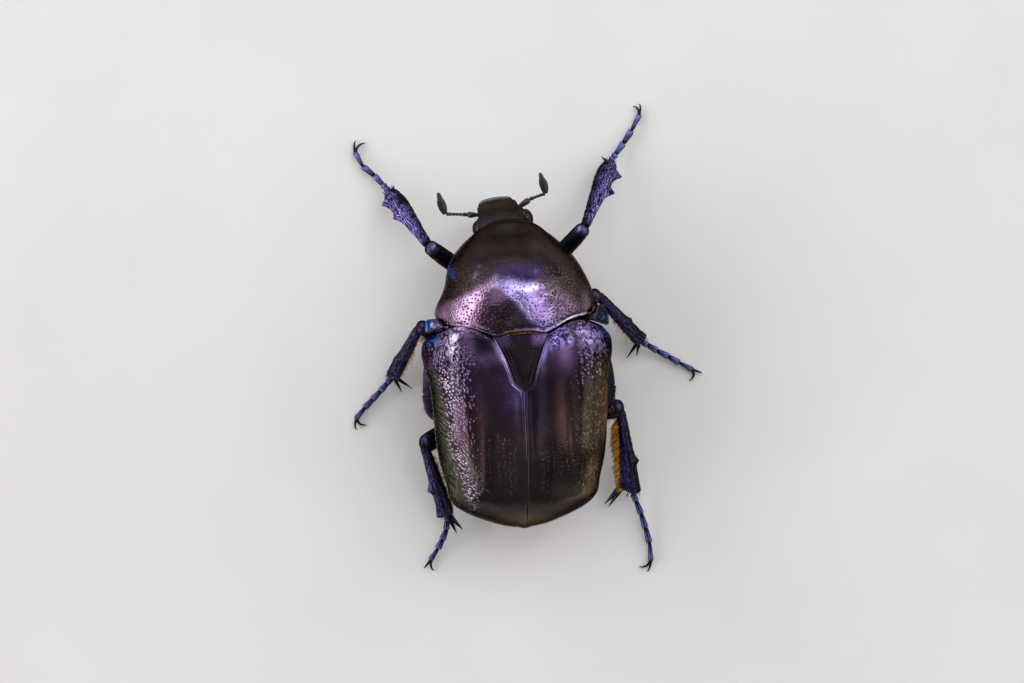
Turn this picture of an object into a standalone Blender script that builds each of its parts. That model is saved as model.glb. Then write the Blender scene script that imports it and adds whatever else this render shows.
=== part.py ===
"""Purple flower chafer, a large metallic beetle, standing on its six feet.

Metres, +Z up.  The head points to -Y, the beetle's left side is +X, and the
floor is z = 0.  The origin is the middle of the footprint, at the floor.
All the named sizes below are in millimetres, in a body frame whose y = 0 is
the front edge of the wing cases; the empty "beetle" carries the whole model
from there to the footprint's middle.
"""

import bpy
import bmesh
import math
import numpy as np

MM = 0.001

for o in list(bpy.data.objects):
    bpy.data.objects.remove(o, do_unlink=True)

# ---------------------------------------------------------------- sizes, mm
FOOTPRINT_MID = (-1.16269, 1.26314)      # middle of the bounding box in the body frame
CUT = 0.09                         # thin cut between neighbouring plates
ELYTRA_L = 15.6                    # wing cases, front edge to tip
ELYTRA_W = 6.85                    # half width behind the shoulders
SHOULDER_W = 0.60                  # how far the shoulders stand out
BACK_Z = 10.9                      # highest line of the back
TIP_Z = 4.4                        # the wing cases' tip above the floor
SHELL = 0.60                       # wing case thickness
SCUT_L, SCUT_W = 4.88, 1.78        # scutellum length and half width
PRO_YAW = math.radians(2.1)        # the prothorax turns a little to the left
PRO_W = 6.3                        # its half width
PRO_BASE = 0.04                    # its hind margin, behind the wing cases' front edge
HEAD_YAW = math.radians(11.3)
HEAD_PITCH = math.radians(48.0)    # the head hangs down
HEAD_L = 4.25
HEAD_AT = np.array([0.42, -7.36, 6.09])
THORAX_END = 7.0                   # hind edge of the hind thorax
BELLY_Z = 1.55                     # clearance under the breast


# ---------------------------------------------------------------- tools
def smooth(a, b, x):
    t = np.clip((np.asarray(x, float) - a) / (b - a), 0.0, 1.0)
    return t * t * (3 - 2 * t)


def profile(x, *knots):
    """Smooth curve through a few (x, value) stations."""
    xs = np.array([k[0] for k in knots], float)
    ys = np.array([k[1] for k in knots], float)
    x = np.clip(np.asarray(x, float), xs[0], xs[-1])
    m = np.gradient(ys, xs)
    i = np.clip(np.searchsorted(xs, x) - 1, 0, len(xs) - 2)
    h = xs[i + 1] - xs[i]
    t = (x - xs[i]) / h
    return ((2 * t**3 - 3 * t**2 + 1) * ys[i] + (t**3 - 2 * t**2 + t) * h * m[i]
            + (-2 * t**3 + 3 * t**2) * ys[i + 1] + (t**3 - t**2) * h * m[i + 1])


def material(name, colour, rough, metallic):
    m = bpy.data.materials.new(name)
    m.use_nodes = True
    b = m.node_tree.nodes["Principled BSDF"]
    b.inputs["Base Color"].default_value = (*colour, 1.0)
    b.inputs["Roughness"].default_value = rough
    b.inputs["Metallic"].default_value = metallic
    return m


BEETLE = bpy.data.objects.new("beetle", None)
bpy.context.scene.collection.objects.link(BEETLE)
BEETLE.location = (-FOOTPRINT_MID[0] * MM, -FOOTPRINT_MID[1] * MM, 0.0)


def make(name, verts, faces, mat, cutter=False):
    me = bpy.data.meshes.new(name)
    me.from_pydata([tuple(float(c) * MM for c in v) for v in verts], [], faces)
    bm = bmesh.new()
    bm.from_mesh(me)
    bmesh.ops.recalc_face_normals(bm, faces=bm.faces)
    bm.to_mesh(me)
    bm.free()
    me.shade_smooth()
    ob = bpy.data.objects.new(name, me)
    bpy.context.scene.collection.objects.link(ob)
    ob.parent = BEETLE
    if mat is not None:
        me.materials.append(mat)
    if cutter:
        ob.hide_render = True
        ob.display_type = "WIRE"
    return ob


def loft(rings, caps):
    """Closed skin over closed rings.  caps: "ring" joins left to right across a
    ring that starts at the top middle, "shell" joins a plate's outside to its
    inside, and "fan" meets in the middle."""
    k, m = len(rings), len(rings[0])
    verts = [p for r in rings for p in r]
    faces = [(a * m + j, a * m + (j + 1) % m, (a + 1) * m + (j + 1) % m, (a + 1) * m + j)
             for a in range(k - 1) for j in range(m)]
    for a, kind in ((0, caps[0]), (k - 1, caps[1])):
        o = a * m
        if kind == "ring":            # ring starts at the top centre and mirrors
            for j in range(m // 2):
                q = [o + j, o + j + 1, o + (m - j - 1) % m, o + (m - j) % m]
                q = [v for i, v in enumerate(q) if v not in q[:i]]
                faces.append(tuple(q))
        elif kind == "shell":         # outer points out, inner points back
            for j in range(m // 2 - 1):
                faces.append((o + j, o + j + 1, o + m - 2 - j, o + m - 1 - j))
        elif kind == "fan":
            c = len(verts)
            verts.append(np.mean(np.array(rings[a]), axis=0))
            faces += [(o + j, o + (j + 1) % m, c) for j in range(m)]
    return verts, faces


def spline(points, n):
    """n points along a smooth curve through the given ones."""
    p = np.array(points, float)
    if len(p) == 2:
        t = np.linspace(0, 1, n)[:, None]
        return p[0] * (1 - t) + p[1] * t
    d = np.r_[0, np.cumsum(np.linalg.norm(np.diff(p, axis=0), axis=1))]
    s = np.linspace(0, d[-1], n)
    return np.stack([profile(s, *zip(d, p[:, i])) for i in range(3)], axis=1)


def limb_rings(points, wide, thick, side, sides=8, n=7, square=2.0):
    """Rings round a smooth path.  wide and thick are half sizes, given as
    stations from 0 to 1 along the path; side points along the wide way."""
    path = spline(points, n)
    tang = np.gradient(path, axis=0)
    tang /= np.linalg.norm(tang, axis=1)[:, None]
    u = np.linspace(0, 1, n)
    w, h = profile(u, *wide), profile(u, *thick)
    rings = []
    for i in range(n):
        t = tang[i]
        a = np.array(side, float)
        a -= t * (a @ t)
        a /= np.linalg.norm(a)
        b = np.cross(t, a)
        ring = []
        for j in range(sides):
            f = 2 * math.pi * j / sides
            c, s = math.cos(f), math.sin(f)
            c = math.copysign(abs(c) ** (2 / square), c)
            s = math.copysign(abs(s) ** (2 / square), s)
            ring.append(path[i] + a * w[i] * c + b * h[i] * s)
        rings.append(ring)
    return rings


def limb(name, points, wide, thick, side, mat, sides=8, n=7, square=2.0, cutter=False):
    v, f = loft(limb_rings(points, wide, thick, side, sides, n, square), ("fan", "fan"))
    return make(name, v, f, mat, cutter)


def spike(name, base, tip, r, bend=(0, 0, 0), n=4, sides=6, r_tip=0.06):
    """A pointed thorn from base to tip, as a piece to be joined to a limb."""
    base, tip = np.array(base, float), np.array(tip, float)
    mid = (base + tip) / 2 + np.array(bend, float)
    d = tip - base
    side = np.cross(d, (0.13, 0.21, 1.0))
    return limb(name, [base, mid, tip], [(0, r), (0.5, r * 0.72), (1, r_tip)],
                [(0, r), (0.5, r * 0.72), (1, r_tip)], side, None, sides, n, cutter=True)


def boolean(ob, other, what):
    m = ob.modifiers.new(what.lower() + "_" + other.name, "BOOLEAN")
    m.operation = what
    m.solver = "EXACT"
    m.object = other


# ---------------------------------------------------------------- wing cases
def elytra_half(s):
    """Half width of the two wing cases together, at s behind their front."""
    s = np.asarray(s, float)
    w = ELYTRA_W - 0.04 * np.clip(s - 5, 0, None)
    w = w * np.sqrt(np.clip(1 - np.clip((s - 5) / (ELYTRA_L - 5), 0, 1) ** 4, 0, 1))
    w = w + SHOULDER_W * np.exp(-((s - 1.6) / 2.0) ** 2)
    c = np.clip((0.9 - s) / 0.9, 0, 1)
    return w - 0.9 * (1 - np.sqrt(1 - c * c))


def elytra_top(s):
    s = np.asarray(s, float)
    front = BACK_Z - 0.55 * (np.clip(3.5 - s, 0, None) / 3.5) ** 2
    k = np.clip((s - 3.5) / (ELYTRA_L - 3.5), 0, 1)
    rear = TIP_Z + (BACK_Z - TIP_Z) * (1 - k**3) ** (1 / 1.8)
    return np.where(s < 3.5, front, rear) - 0.5 * (np.clip(0.8 - s, 0, None) / 0.8) ** 2


def elytra_edge(s):
    """Height of the wing cases' outer edge: notched up behind the shoulder."""
    return profile(s, (0, 5.3), (1.8, 5.2), (3.6, 5.75), (5.5, 5.85), (8.0, 5.45),
                   (11, 5.0), (13.5, 4.6), (ELYTRA_L, TIP_Z - 0.15))


def front_line(x):
    """How far behind y = 0 the wing cases' front edge lies at x from the middle."""
    return profile(np.abs(x), (0, 0.65), (1.9, 0.65), (2.6, 0.36), (3.6, -0.10), (4.5, -0.27),
                   (5.6, -0.12), (6.5, 0.08), (7.4, 0.30))


def wing_y(x, s):
    return s + front_line(x) * np.clip(1 - s / 4.0, 0, 1) ** 2


def scut_half(y):
    return SCUT_W * profile(y, (0.0, 1.03), (1.2, 0.94), (2.2, 0.76), (3.06, 0.56), (3.83, 0.42),
                            (4.45, 0.26), (4.75, 0.11), (SCUT_L, 0.0))


def arc(width, top, edge, x0, n, power=2.5):
    """(x, z) from x0 out to the edge of a flattened dome."""
    x0 = min(x0, width * 0.98)
    a0 = math.asin((x0 / width) ** (power / 2))
    a = np.linspace(a0, math.pi / 2, n)
    x = width * np.sin(a) ** (2 / power)
    z = edge + (top - edge) * np.clip(np.cos(a), 0, 1) ** (2 / power)
    return x, z


def elytron(name, sign, mat):
    n_arc, rings = 11, []
    stations = [0.0, 0.25, 0.8, 1.7, 2.8, 3.9, 4.9, 6.2, 7.8, 9.4, 11.0, 12.4, 13.5, 14.3, 14.9, 15.3, 15.5]
    for s in stations:
        w, top, edge = float(elytra_half(s)), float(elytra_top(s)), float(elytra_edge(s))
        x0 = max(float(scut_half(wing_y(0.0, s))) + 0.05, CUT / 2)
        t = min(SHELL, 0.42 * w, 0.42 * (top - edge))
        ox, oz = arc(w, top, edge, x0, n_arc)
        ix, iz = arc(w - t, top - t, edge, x0, n_arc)
        ring = [(sign * x, float(wing_y(x, s)), z) for x, z in zip(ox, oz)]
        ring += [(sign * x, float(wing_y(x, s)), z) for x, z in zip(ix[::-1], iz[::-1])]
        rings.append([np.array(p) for p in ring])
    v, f = loft(rings, ("shell", "shell"))
    return make(name, v, f, mat)


# ---------------------------------------------------------------- trunk
def ring_of(y, w_top, top, edge_top, w_low, edge_low, low, n=8, power=2.5, power_low=2.1):
    """Ring from the top centre, down the +X side, under the belly and back."""
    ux, uz = arc(w_top, top, edge_top, 0.0, n, power)
    lx, lz = arc(w_low, -low, -edge_low, 0.0, n, power_low)
    pts = [(x, z) for x, z in zip(ux, uz)] + [(x, -z) for x, z in zip(lx[::-1], lz[::-1])]
    half = [(x, z) for x, z in pts]
    other = [(-x, z) for x, z in half[1:-1][::-1]]
    return [np.array((x, float(wing_y(x, y)), z)) for x, z in half + other]


def flank(s):
    """Half width of the breast's flanks and hind coxae under the wing cases."""
    return profile(s, (0.0, 6.3), (1.2, 6.95), (2.6, 7.35), (4.2, 7.55), (5.8, 7.6), (6.6, 7.5), (7.0, 7.2))


def under(s):
    """Lowest line of the breast and the belly."""
    return profile(s, (-0.2, 2.7), (1.5, 1.9), (3.5, BELLY_Z), (6.0, BELLY_Z), (9.0, 1.75), (12.0, 2.25),
                   (14.0, 3.1), (15.3, 4.0))


def inner(s):
    w, top, edge = float(elytra_half(s)), float(elytra_top(s)), float(elytra_edge(s))
    t = min(SHELL, 0.42 * w, 0.42 * (top - edge)) + CUT
    return w - t, top - t, edge


def thorax(mat):
    rings = []
    for s in (0.0, 0.6, 1.4, 2.6, 4.0, 5.4, 6.4, THORAX_END):
        w, top, edge = inner(s)
        e = edge - 0.17
        rings.append(ring_of(s + 0.12 if s == 0 else s, w, top - (0.15 if s < 0.5 else 0.0), edge,
                             float(flank(s)), e, float(under(s)), 8))
    v, f = loft(rings, ("ring", "ring"))
    return make("thorax", v, f, mat)


def abdomen(mat):
    rings = []
    for s in (THORAX_END + CUT, 8.6, 10.2, 11.8, 13.0, 14.0, 14.7, 15.1):
        w, top, edge = inner(s)
        rings.append(ring_of(s, w, top, edge, float(elytra_half(s)) - 0.22, edge - CUT, float(under(s)), 8))
    v, f = loft(rings, ("ring", "ring"))
    return make("abdomen", v, f, mat)


# ---------------------------------------------------------------- prothorax
def pro_frame(x, t, z):
    """From the prothorax's own line (t forward of its base) to the body frame."""
    c, s = math.cos(PRO_YAW), math.sin(PRO_YAW)
    return np.array([x * c + t * s, PRO_BASE + x * s - t * c, z])


def hind_line(x):
    """How far forward of its base line the prothorax's hind margin lies: a
    shallow bay over the scutellum between two blunt angles."""
    return profile(np.abs(x), (0, -0.22), (1.0, -0.27), (1.85, -0.42), (2.6, -0.12), (3.6, 0.27),
                   (4.45, 0.45), (5.5, 0.62), (6.0, 0.9), (6.3, 1.35))


def pronotum_rings():
    rings = []
    n = 10
    for v in (0.0, 0.07, 0.18, 0.32, 0.46, 0.60, 0.74, 0.86, 0.95, 1.0):
        t_mid, t_side, t_low = 8.50 * v, 1.0 + 6.4 * v, 0.9 + 5.6 * v
        w = PRO_W * (1 - max(0.0, (t_side - 1.2) / 7.6) ** 2) ** 0.7
        w -= 0.3 * (1 - min(1.0, v / 0.07)) ** 2
        top = float(profile(v, (0, 10.25), (0.10, 10.7), (0.22, 10.85), (0.42, 10.45), (0.62, 9.3),
                            (0.82, 7.75), (1.0, 6.55)))
        edge = float(profile(v, (0, 5.9), (0.2, 5.55), (0.5, 5.2), (0.8, 5.15), (1.0, 5.3)))
        low = float(profile(v, (0, 2.9), (0.25, 2.45), (0.6, 2.7), (0.85, 3.6), (1.0, 4.25)))
        ux, uz = arc(w, top, edge, 0.0, n, 2.25)
        lx, lz = arc(w - 0.12, -low, -(edge - 0.12), 0.0, n, 2.0)
        half = []
        for x, z in zip(ux, uz):
            q = x / w
            t = t_mid + (t_side - t_mid) * q**2.6
            half.append((x, t + (float(hind_line(x)) - q**2.6) * (1 - v) ** 4, z))
        for x, z in zip(lx[::-1], lz[::-1]):
            q = x / w
            half.append((x, t_low + (t_side - t_low) * q**2, -z))
        other = [(-x, t, z) for x, t, z in half[1:-1][::-1]]
        rings.append([pro_frame(*p) for p in half + other])
    return rings


# ---------------------------------------------------------------- head
HA = np.array([math.sin(HEAD_YAW) * math.cos(HEAD_PITCH),
               -math.cos(HEAD_YAW) * math.cos(HEAD_PITCH), -math.sin(HEAD_PITCH)])
HL = np.array([math.cos(HEAD_YAW), math.sin(HEAD_YAW), 0.0])
HN = np.cross(HA, HL)


def head_at(a, x, n):
    return HEAD_AT + HA * a + HL * x + HN * n


def head_rings(grow=0.0):
    rings = []
    for a in (0.30 - grow, 0.6, 1.1, 1.6, 2.1, 2.6, 3.2, 3.8, 4.15, HEAD_L):
        w = float(profile(a, (0.3, 1.75), (1.1, 2.0), (1.8, 1.85), (2.3, 1.55), (3.2, 1.55), (3.9, 1.55), (4.25, 1.38)))
        up = float(profile(a, (0.3, 0.80), (1.2, 0.92), (2.2, 0.72), (3.2, 0.50), (4.25, 0.42)))
        dn = float(profile(a, (0.3, 1.05), (1.2, 1.30), (2.2, 1.15), (3.2, 0.60), (4.25, 0.12)))
        w, up, dn = w + grow, up + grow, dn + grow
        ux, uz = arc(w, up, 0.0, 0.0, 6, 3.2)
        lx, lz = arc(w - 0.04, dn, 0.05, 0.0, 6, 2.6)
        half = [(x, z) for x, z in zip(ux, uz)] + [(x, -z) for x, z in zip(lx[::-1], lz[::-1])]
        other = [(-x, z) for x, z in half[1:-1][::-1]]
        rings.append([head_at(a, x, z) for x, z in half + other])
    return rings


def ball(name, centre, axes, sizes, mat, seg=10, rows=7, grow=0.0, cutter=False):
    verts, faces = [], []
    ex, ey, ez = (np.array(a, float) for a in axes)
    a, b, c = (r + grow for r in sizes)
    for i in range(1, rows):
        f = math.pi * i / rows
        for j in range(seg):
            g = 2 * math.pi * j / seg
            verts.append(np.array(centre) + ex * a * math.sin(f) * math.cos(g)
                         + ey * b * math.sin(f) * math.sin(g) + ez * c * math.cos(f))
    top, bot = len(verts), len(verts) + 1
    verts += [np.array(centre) + ez * c, np.array(centre) - ez * c]
    for i in range(rows - 2):
        for j in range(seg):
            k = (j + 1) % seg
            faces.append((i * seg + j, i * seg + k, (i + 1) * seg + k, (i + 1) * seg + j))
    faces += [(top, (j + 1) % seg, j) for j in range(seg)]
    o = (rows - 2) * seg
    faces += [(bot, o + j, o + (j + 1) % seg) for j in range(seg)]
    return make(name, verts, faces, mat, cutter)


# ---------------------------------------------------------------- colours
SHELL_MAT = material("violet_shell", (0.10, 0.045, 0.15), 0.30, 0.85)
DARK_MAT = material("dark_cuticle", (0.030, 0.022, 0.040), 0.38, 0.60)
LEG_MAT = material("leg_cuticle", (0.040, 0.030, 0.075), 0.36, 0.70)
EYE_MAT = material("eye_lens", (0.012, 0.010, 0.012), 0.12, 0.0)
FEELER_MAT = material("feeler_cuticle", (0.045, 0.045, 0.045), 0.45, 0.20)


def own(mat, name):
    m = mat.copy()
    m.name = name
    return m


# ---------------------------------------------------------------- build it
elytron("elytron_left", 1, own(SHELL_MAT, "elytron_left"))
elytron("elytron_right", -1, own(SHELL_MAT, "elytron_right"))

# scutellum: a small shield between the wing cases' bases
rings = []
for s in (0.66, 1.1, 1.8, 2.6, 3.3, 3.9, 4.4, 4.66):
    w = float(scut_half(s)) - 0.09
    top = float(elytra_top(s)) - 0.06
    nx = np.linspace(0, 1, 5)
    half = [(w * q, top - 0.05 * q * q) for q in nx] + [(w * q, top - 0.50) for q in nx[::-1]]
    other = [(-x, z) for x, z in half[1:-1][::-1]]
    rings.append([np.array((x, s, z)) for x, z in half + other])
v, f = loft(rings, ("ring", "ring"))
make("scutellum", v, f, own(SHELL_MAT, "scutellum"))

trunk = thorax(own(DARK_MAT, "thorax"))
belly = abdomen(own(DARK_MAT, "abdomen"))

v, f = loft(pronotum_rings(), ("ring", "ring"))
prothorax = make("prothorax", v, f, own(SHELL_MAT, "prothorax"))

# shoulder plates: the wedges in front of the wing cases' shoulders
for side, sign in (("left", 1), ("right", -1)):
    rings = []
    for x in (5.4, 5.8, 6.15, 6.55, 6.95, 7.3):
        y0 = PRO_BASE - float(hind_line(x)) + 0.06 + sign * x * math.sin(PRO_YAW)
        if x > 6.5:
            y0 = -1.5 + 1.1 * ((x - 6.55) / 0.75) ** 2
        y1 = float(front_line(x)) - 0.06
        z1 = 5.3 + 4.4 * (1 - (x / 7.45) ** 2.6) ** (1 / 2.2)
        z0 = 3.9 + 0.5 * (x - 5.4) / 1.9
        bev = min(0.12, 0.3 * (y1 - y0))
        rings.append([np.array((sign * x, y, z)) for y, z in
                      ((y0, z0), (y1, z0), (y1, z1 - bev), (y1 - bev, z1), (y0 + bev, z1), (y0, z1 - bev))])
    v, f = loft(rings, ("fan", "fan"))
    plate = make("shoulder_plate_" + side, v, f, own(SHELL_MAT, "shoulder_plate_" + side))

# head, eyes and feelers
v, f = loft(head_rings(), ("ring", "ring"))
head = make("head", v, f, own(DARK_MAT, "head"))
v, f = loft(head_rings(CUT), ("ring", "ring"))
boolean(prothorax, make("head_room", v, f, None, cutter=True), "DIFFERENCE")
for side, sign in (("left", 1), ("right", -1)):
    at = head_at(1.25, sign * 1.88, 0.02)
    axes = (HA, HL, HN)
    ball("eye_" + side, at, axes, (0.78, 0.56, 0.72), own(EYE_MAT, "eye_" + side))
    boolean(head, ball("eye_socket_" + side, at, axes, (0.78, 0.56, 0.72), None, grow=0.06, cutter=True), "DIFFERENCE")
    boolean(prothorax, ball("eye_room_" + side, at, axes, (0.78, 0.56, 0.72), None, grow=0.10, cutter=True), "DIFFERENCE")

# root on the cheek, end of the thick first joint, elbow, tip of the club
FEELERS = {
    "left": (head_at(3.30, 1.88, -0.35), (3.25, -9.13, 3.48), (4.90, -9.25, 3.42), (5.44, -11.02, 3.32)),
    "right": (head_at(3.30, -1.88, -0.35), (-1.80, -10.12, 3.48), (-3.00, -10.50, 3.42), (-2.70, -12.22, 3.32)),
}
for side, (a0, a1, a2, a3) in FEELERS.items():
    a0, a1, a2, a3 = (np.array(p) for p in (a0, a1, a2, a3))
    arm = (a2 - a1) / np.linalg.norm(a2 - a1)
    stop = a2 - arm * 0.20
    stalk = [(0, 0.26), (0.15, 0.32), (0.36, 0.32), (0.48, 0.25), (1, 0.25)]
    limb("antenna_stalk_" + side, [a0, a1, (a1 + stop) / 2, stop], stalk, stalk, (0, 0, 1),
         own(FEELER_MAT, "antenna_stalk_" + side), 6, 8)
    d = (a3 - a2) / np.linalg.norm(a3 - a2)
    limb("antenna_club_" + side, [a2 + arm * 0.12 - d * 0.05, (a2 + a3) / 2 + arm * 0.02, a3],
         [(0, 0.20), (0.25, 0.30), (0.55, 0.33), (0.85, 0.25), (1, 0.10)],
         [(0, 0.20), (0.25, 0.26), (0.6, 0.27), (0.85, 0.22), (1, 0.10)], np.cross(d, (0, 0, 1)),
         own(FEELER_MAT, "antenna_club_" + side), 8, 7)

# ---------------------------------------------------------------- legs
# hip, mid thigh, knee, heel, then the foot's four joints and its claws' tips
LEGS = {
    "front_left": dict(hip=(1.35, -3.65, 2.60), mid=(4.0, -5.0, 3.00), knee=(6.40, -6.72, 4.50), heel=(9.20, -11.41, 1.05),
                       foot=((9.67, -11.97, 0.62), (10.42, -12.85, 0.50), (11.22, -13.57, 0.42), (11.76, -14.71, 0.20)),
                       claws=((10.81, -15.37, 0.07), (11.55, -15.62, 0.07)),
                       teeth=((9.75, -10.22, 1.35, 0.75), (8.93, -9.03, 2.25, 0.52), (9.68, -11.39, 0.95, 0.93)),
                       spurs=((8.74, -11.83, 0.85),)),
    "front_right": dict(hip=(-1.35, -3.85, 2.60), mid=(-3.7, -5.5, 3.00), knee=(-5.86, -7.58, 4.50), heel=(-8.58, -12.91, 1.05),
                        foot=((-9.14, -13.59, 0.62), (-9.77, -14.38, 0.50), (-10.51, -15.39, 0.42), (-11.27, -16.69, 0.20)),
                        claws=((-11.25, -17.55, 0.07), (-10.75, -17.35, 0.07)),
                        teeth=((-9.32, -11.53, 1.35, 0.75), (-8.58, -10.16, 2.25, 0.52), (-9.27, -12.96, 0.95, 0.93)),
                        spurs=((-7.88, -13.42, 0.85),)),
    "middle_left": dict(hip=(2.0, 1.6, 1.60), mid=(5.0, 0.70, 1.90), knee=(7.42, -0.50, 3.95), heel=(9.75, 3.45, 1.15),
                        foot=((10.29, 4.07, 0.72), (10.91, 4.71, 0.55), (11.62, 5.36, 0.42), (12.76, 6.61, 0.20)),
                        claws=((11.86, 7.11, 0.07), (12.65, 7.45, 0.07)),
                        teeth=((9.55, 1.95, 2.10, 0.62), (10.05, 3.25, 1.15, 0.95)),
                        spurs=((8.08, 4.42, 0.65), (8.95, 4.65, 0.65))),
    "middle_right": dict(hip=(-2.0, 1.4, 1.60), mid=(-4.8, -0.5, 2.00), knee=(-6.62, -2.42, 4.05), heel=(-10.35, 1.55, 1.15),
                         foot=((-11.49, 2.26, 0.66), (-12.56, 2.88, 0.52), (-13.52, 3.49, 0.42), (-14.58, 4.07, 0.20)),
                         claws=((-14.17, 4.94, 0.07), (-15.28, 4.30, 0.07)),
                         teeth=((-9.45, -0.35, 2.25, 0.62), (-10.95, 1.25, 1.15, 0.95)),
                         spurs=((-9.11, 2.90, 0.65), (-9.95, 2.75, 0.65))),
    "hind_left": dict(hip=(2.0, 5.9, 1.45), mid=(5.2, 7.7, 1.75), knee=(7.62, 8.75, 4.55), heel=(5.92, 14.50, 1.60),
                      foot=((5.90, 15.28, 1.15), (6.25, 16.36, 0.75), (6.72, 17.23, 0.48), (7.36, 18.16, 0.20)),
                      claws=((7.05, 19.0, 0.07), (7.95, 18.75, 0.07)),
                      teeth=((7.45, 12.45, 2.70, 0.62), (6.75, 14.75, 1.45, 0.97)),
                      spurs=((4.65, 15.85, 0.95), (5.15, 16.15, 0.75))),
    "hind_right": dict(hip=(-2.0, 5.6, 1.45), mid=(-5.4, 6.8, 1.70), knee=(-8.02, 6.70, 4.25), heel=(-9.04, 13.65, 1.30),
                       foot=((-9.63, 15.20, 0.80), (-9.97, 16.40, 0.55), (-10.28, 17.71, 0.42), (-10.36, 19.29, 0.20)),
                       claws=((-9.37, 19.61, 0.07), (-9.95, 20.05, 0.07)),
                       teeth=((-9.50, 11.00, 2.55, 0.62), (-9.75, 14.05, 1.15, 0.97)),
                       spurs=((-6.72, 14.48, 0.75), (-7.45, 15.05, 0.65))),
}
THIGH = {"front": (0.70, 0.52), "middle": (0.68, 0.50), "hind": (0.84, 0.54)}
SHIN = {"front": (0.66, 0.36), "middle": (0.56, 0.40), "hind": (0.66, 0.42)}

corners = [(x, y, z) for x in (-30, 30) for y in (-30, 30) for z in (-2, 0)]
FLOOR = make("floor_cut", corners, [(0, 1, 3, 2), (4, 6, 7, 5), (0, 4, 5, 1), (2, 3, 7, 6), (0, 2, 6, 4), (1, 5, 7, 3)],
             None, cutter=True)    # the feet stand on small flats

for name, leg in LEGS.items():
    pair = name.split("_")[0]
    hip, mid, knee, heel = (np.array(leg[k], float) for k in ("hip", "mid", "knee", "heel"))
    foot = [np.array(p, float) for p in leg["foot"]]
    a, b = THIGH[pair]
    back = (0.0, 1.0, 0.0)
    wide = [(0, a * 0.85), (0.25, a), (0.6, a), (0.9, a * 0.86), (1, a * 0.55)]
    thick = [(0, b * 1.1), (0.25, b), (0.6, b), (0.9, b * 0.95), (1, b * 0.62)]
    femur = limb("femur_" + name, [hip, mid, knee], wide, thick, back, own(LEG_MAT, "femur_" + name), 8, 8)
    room = limb("room_" + name, [hip, mid, knee], [(x, w + CUT) for x, w in wide],
                [(x, w + CUT) for x, w in thick], back, None, 8, 8, cutter=True)
    for body in ((prothorax, trunk) if pair == "front" else (trunk, belly, prothorax)):
        boolean(body, room, "DIFFERENCE")

    # shin: narrow at the knee, broad at the heel, with thorns and spurs
    along = heel - knee
    length = np.linalg.norm(along)
    along /= length
    out = np.cross(along, (0, 0, 1))
    out /= np.linalg.norm(out)
    start = knee + along * 0.66
    a, b = SHIN[pair]
    shin = limb("tibia_" + name, [start, (start + heel) / 2 + np.array((0, 0, 0.10)), heel],
                [(0, 0.34), (0.15, 0.36), (0.5, a * 0.82), (0.85, a), (1, a * 0.88)],
                [(0, 0.32), (0.15, 0.33), (0.5, b * 0.95), (0.85, b), (1, b * 0.9)], out,
                own(LEG_MAT, "tibia_" + name), 8, 7)
    for i, (x, y, z, u) in enumerate(leg["teeth"]):
        root = start + (heel - start) * (u - 0.03)
        boolean(shin, spike(f"tooth_{name}_{i}", root, (x, y, z), 0.30, n=3, sides=5), "UNION")
    for i, tip in enumerate(leg["spurs"]):
        root = heel - along * 0.30
        boolean(shin, spike(f"spur_{name}_{i}", root, tip, 0.20, n=3, sides=5, r_tip=0.08), "UNION")

    # foot: five knuckles, and two claws that hook on the last one
    step = (foot[0] - heel) / np.linalg.norm(foot[0] - heel)
    knots = spline([heel + step * 0.42] + foot, 6)
    rings = []
    for i in range(5):
        p, q = knots[i], knots[i + 1]
        d = (q - p) / np.linalg.norm(q - p)
        for k, r in ((0.06, 0.25), (0.55, 0.28), (0.90, 0.33)):
            c = p + (q - p) * k
            side = np.cross(d, (0, 0, 1))
            side /= np.linalg.norm(side)
            up = np.cross(side, d)
            rings.append([c + side * r * math.cos(g) + up * r * 0.86 * math.sin(g)
                          for g in (2 * math.pi * j / 6 for j in range(6))])
    v, f = loft(rings, ("fan", "fan"))
    tarsus = make("tarsus_" + name, v, f, own(LEG_MAT, "tarsus_" + name))
    for i, tip in enumerate(leg["claws"]):
        tip = np.array(tip)
        root = foot[3] + (foot[2] - foot[3]) * 0.12 + np.array((0, 0, 0.02))
        claw = spike(f"claw_{name}_{i}", root, tip, 0.17, bend=(foot[3] - foot[2]) * 0.22 + np.array((0, 0, 0.10)), n=4, sides=5, r_tip=0.09)
        boolean(tarsus, claw, "UNION")
    boolean(tarsus, FLOOR, "DIFFERENCE")
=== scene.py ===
"""Looks of the purple flower chafer: detailed shell plates, legs, head and hair
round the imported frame, the photograph's camera, a pale floor and studio light.

All shapes are worked out in millimetres in the body frame (y = 0 at the wing
cases' front edge, head to -Y, the beetle's left side +X), and moved to the
frame's metres when a mesh is made.
"""
import math
import bpy
import numpy as np
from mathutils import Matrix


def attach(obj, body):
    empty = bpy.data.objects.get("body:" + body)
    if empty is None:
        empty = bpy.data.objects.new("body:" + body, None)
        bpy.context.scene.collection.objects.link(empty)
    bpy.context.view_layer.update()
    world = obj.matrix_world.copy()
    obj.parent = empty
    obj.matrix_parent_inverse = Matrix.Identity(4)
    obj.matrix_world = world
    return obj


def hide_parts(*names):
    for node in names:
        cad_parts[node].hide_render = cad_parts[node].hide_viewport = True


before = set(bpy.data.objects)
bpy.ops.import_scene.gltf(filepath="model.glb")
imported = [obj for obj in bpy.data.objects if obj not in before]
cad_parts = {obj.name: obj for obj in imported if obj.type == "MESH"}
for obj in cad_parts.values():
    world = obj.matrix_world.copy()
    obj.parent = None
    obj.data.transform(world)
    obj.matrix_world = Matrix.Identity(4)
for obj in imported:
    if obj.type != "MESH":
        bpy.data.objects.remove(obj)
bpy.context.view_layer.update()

MM = 0.001
SH = np.array([1.16269, -1.26314, 0.0])      # body frame to footprint frame, mm

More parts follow.
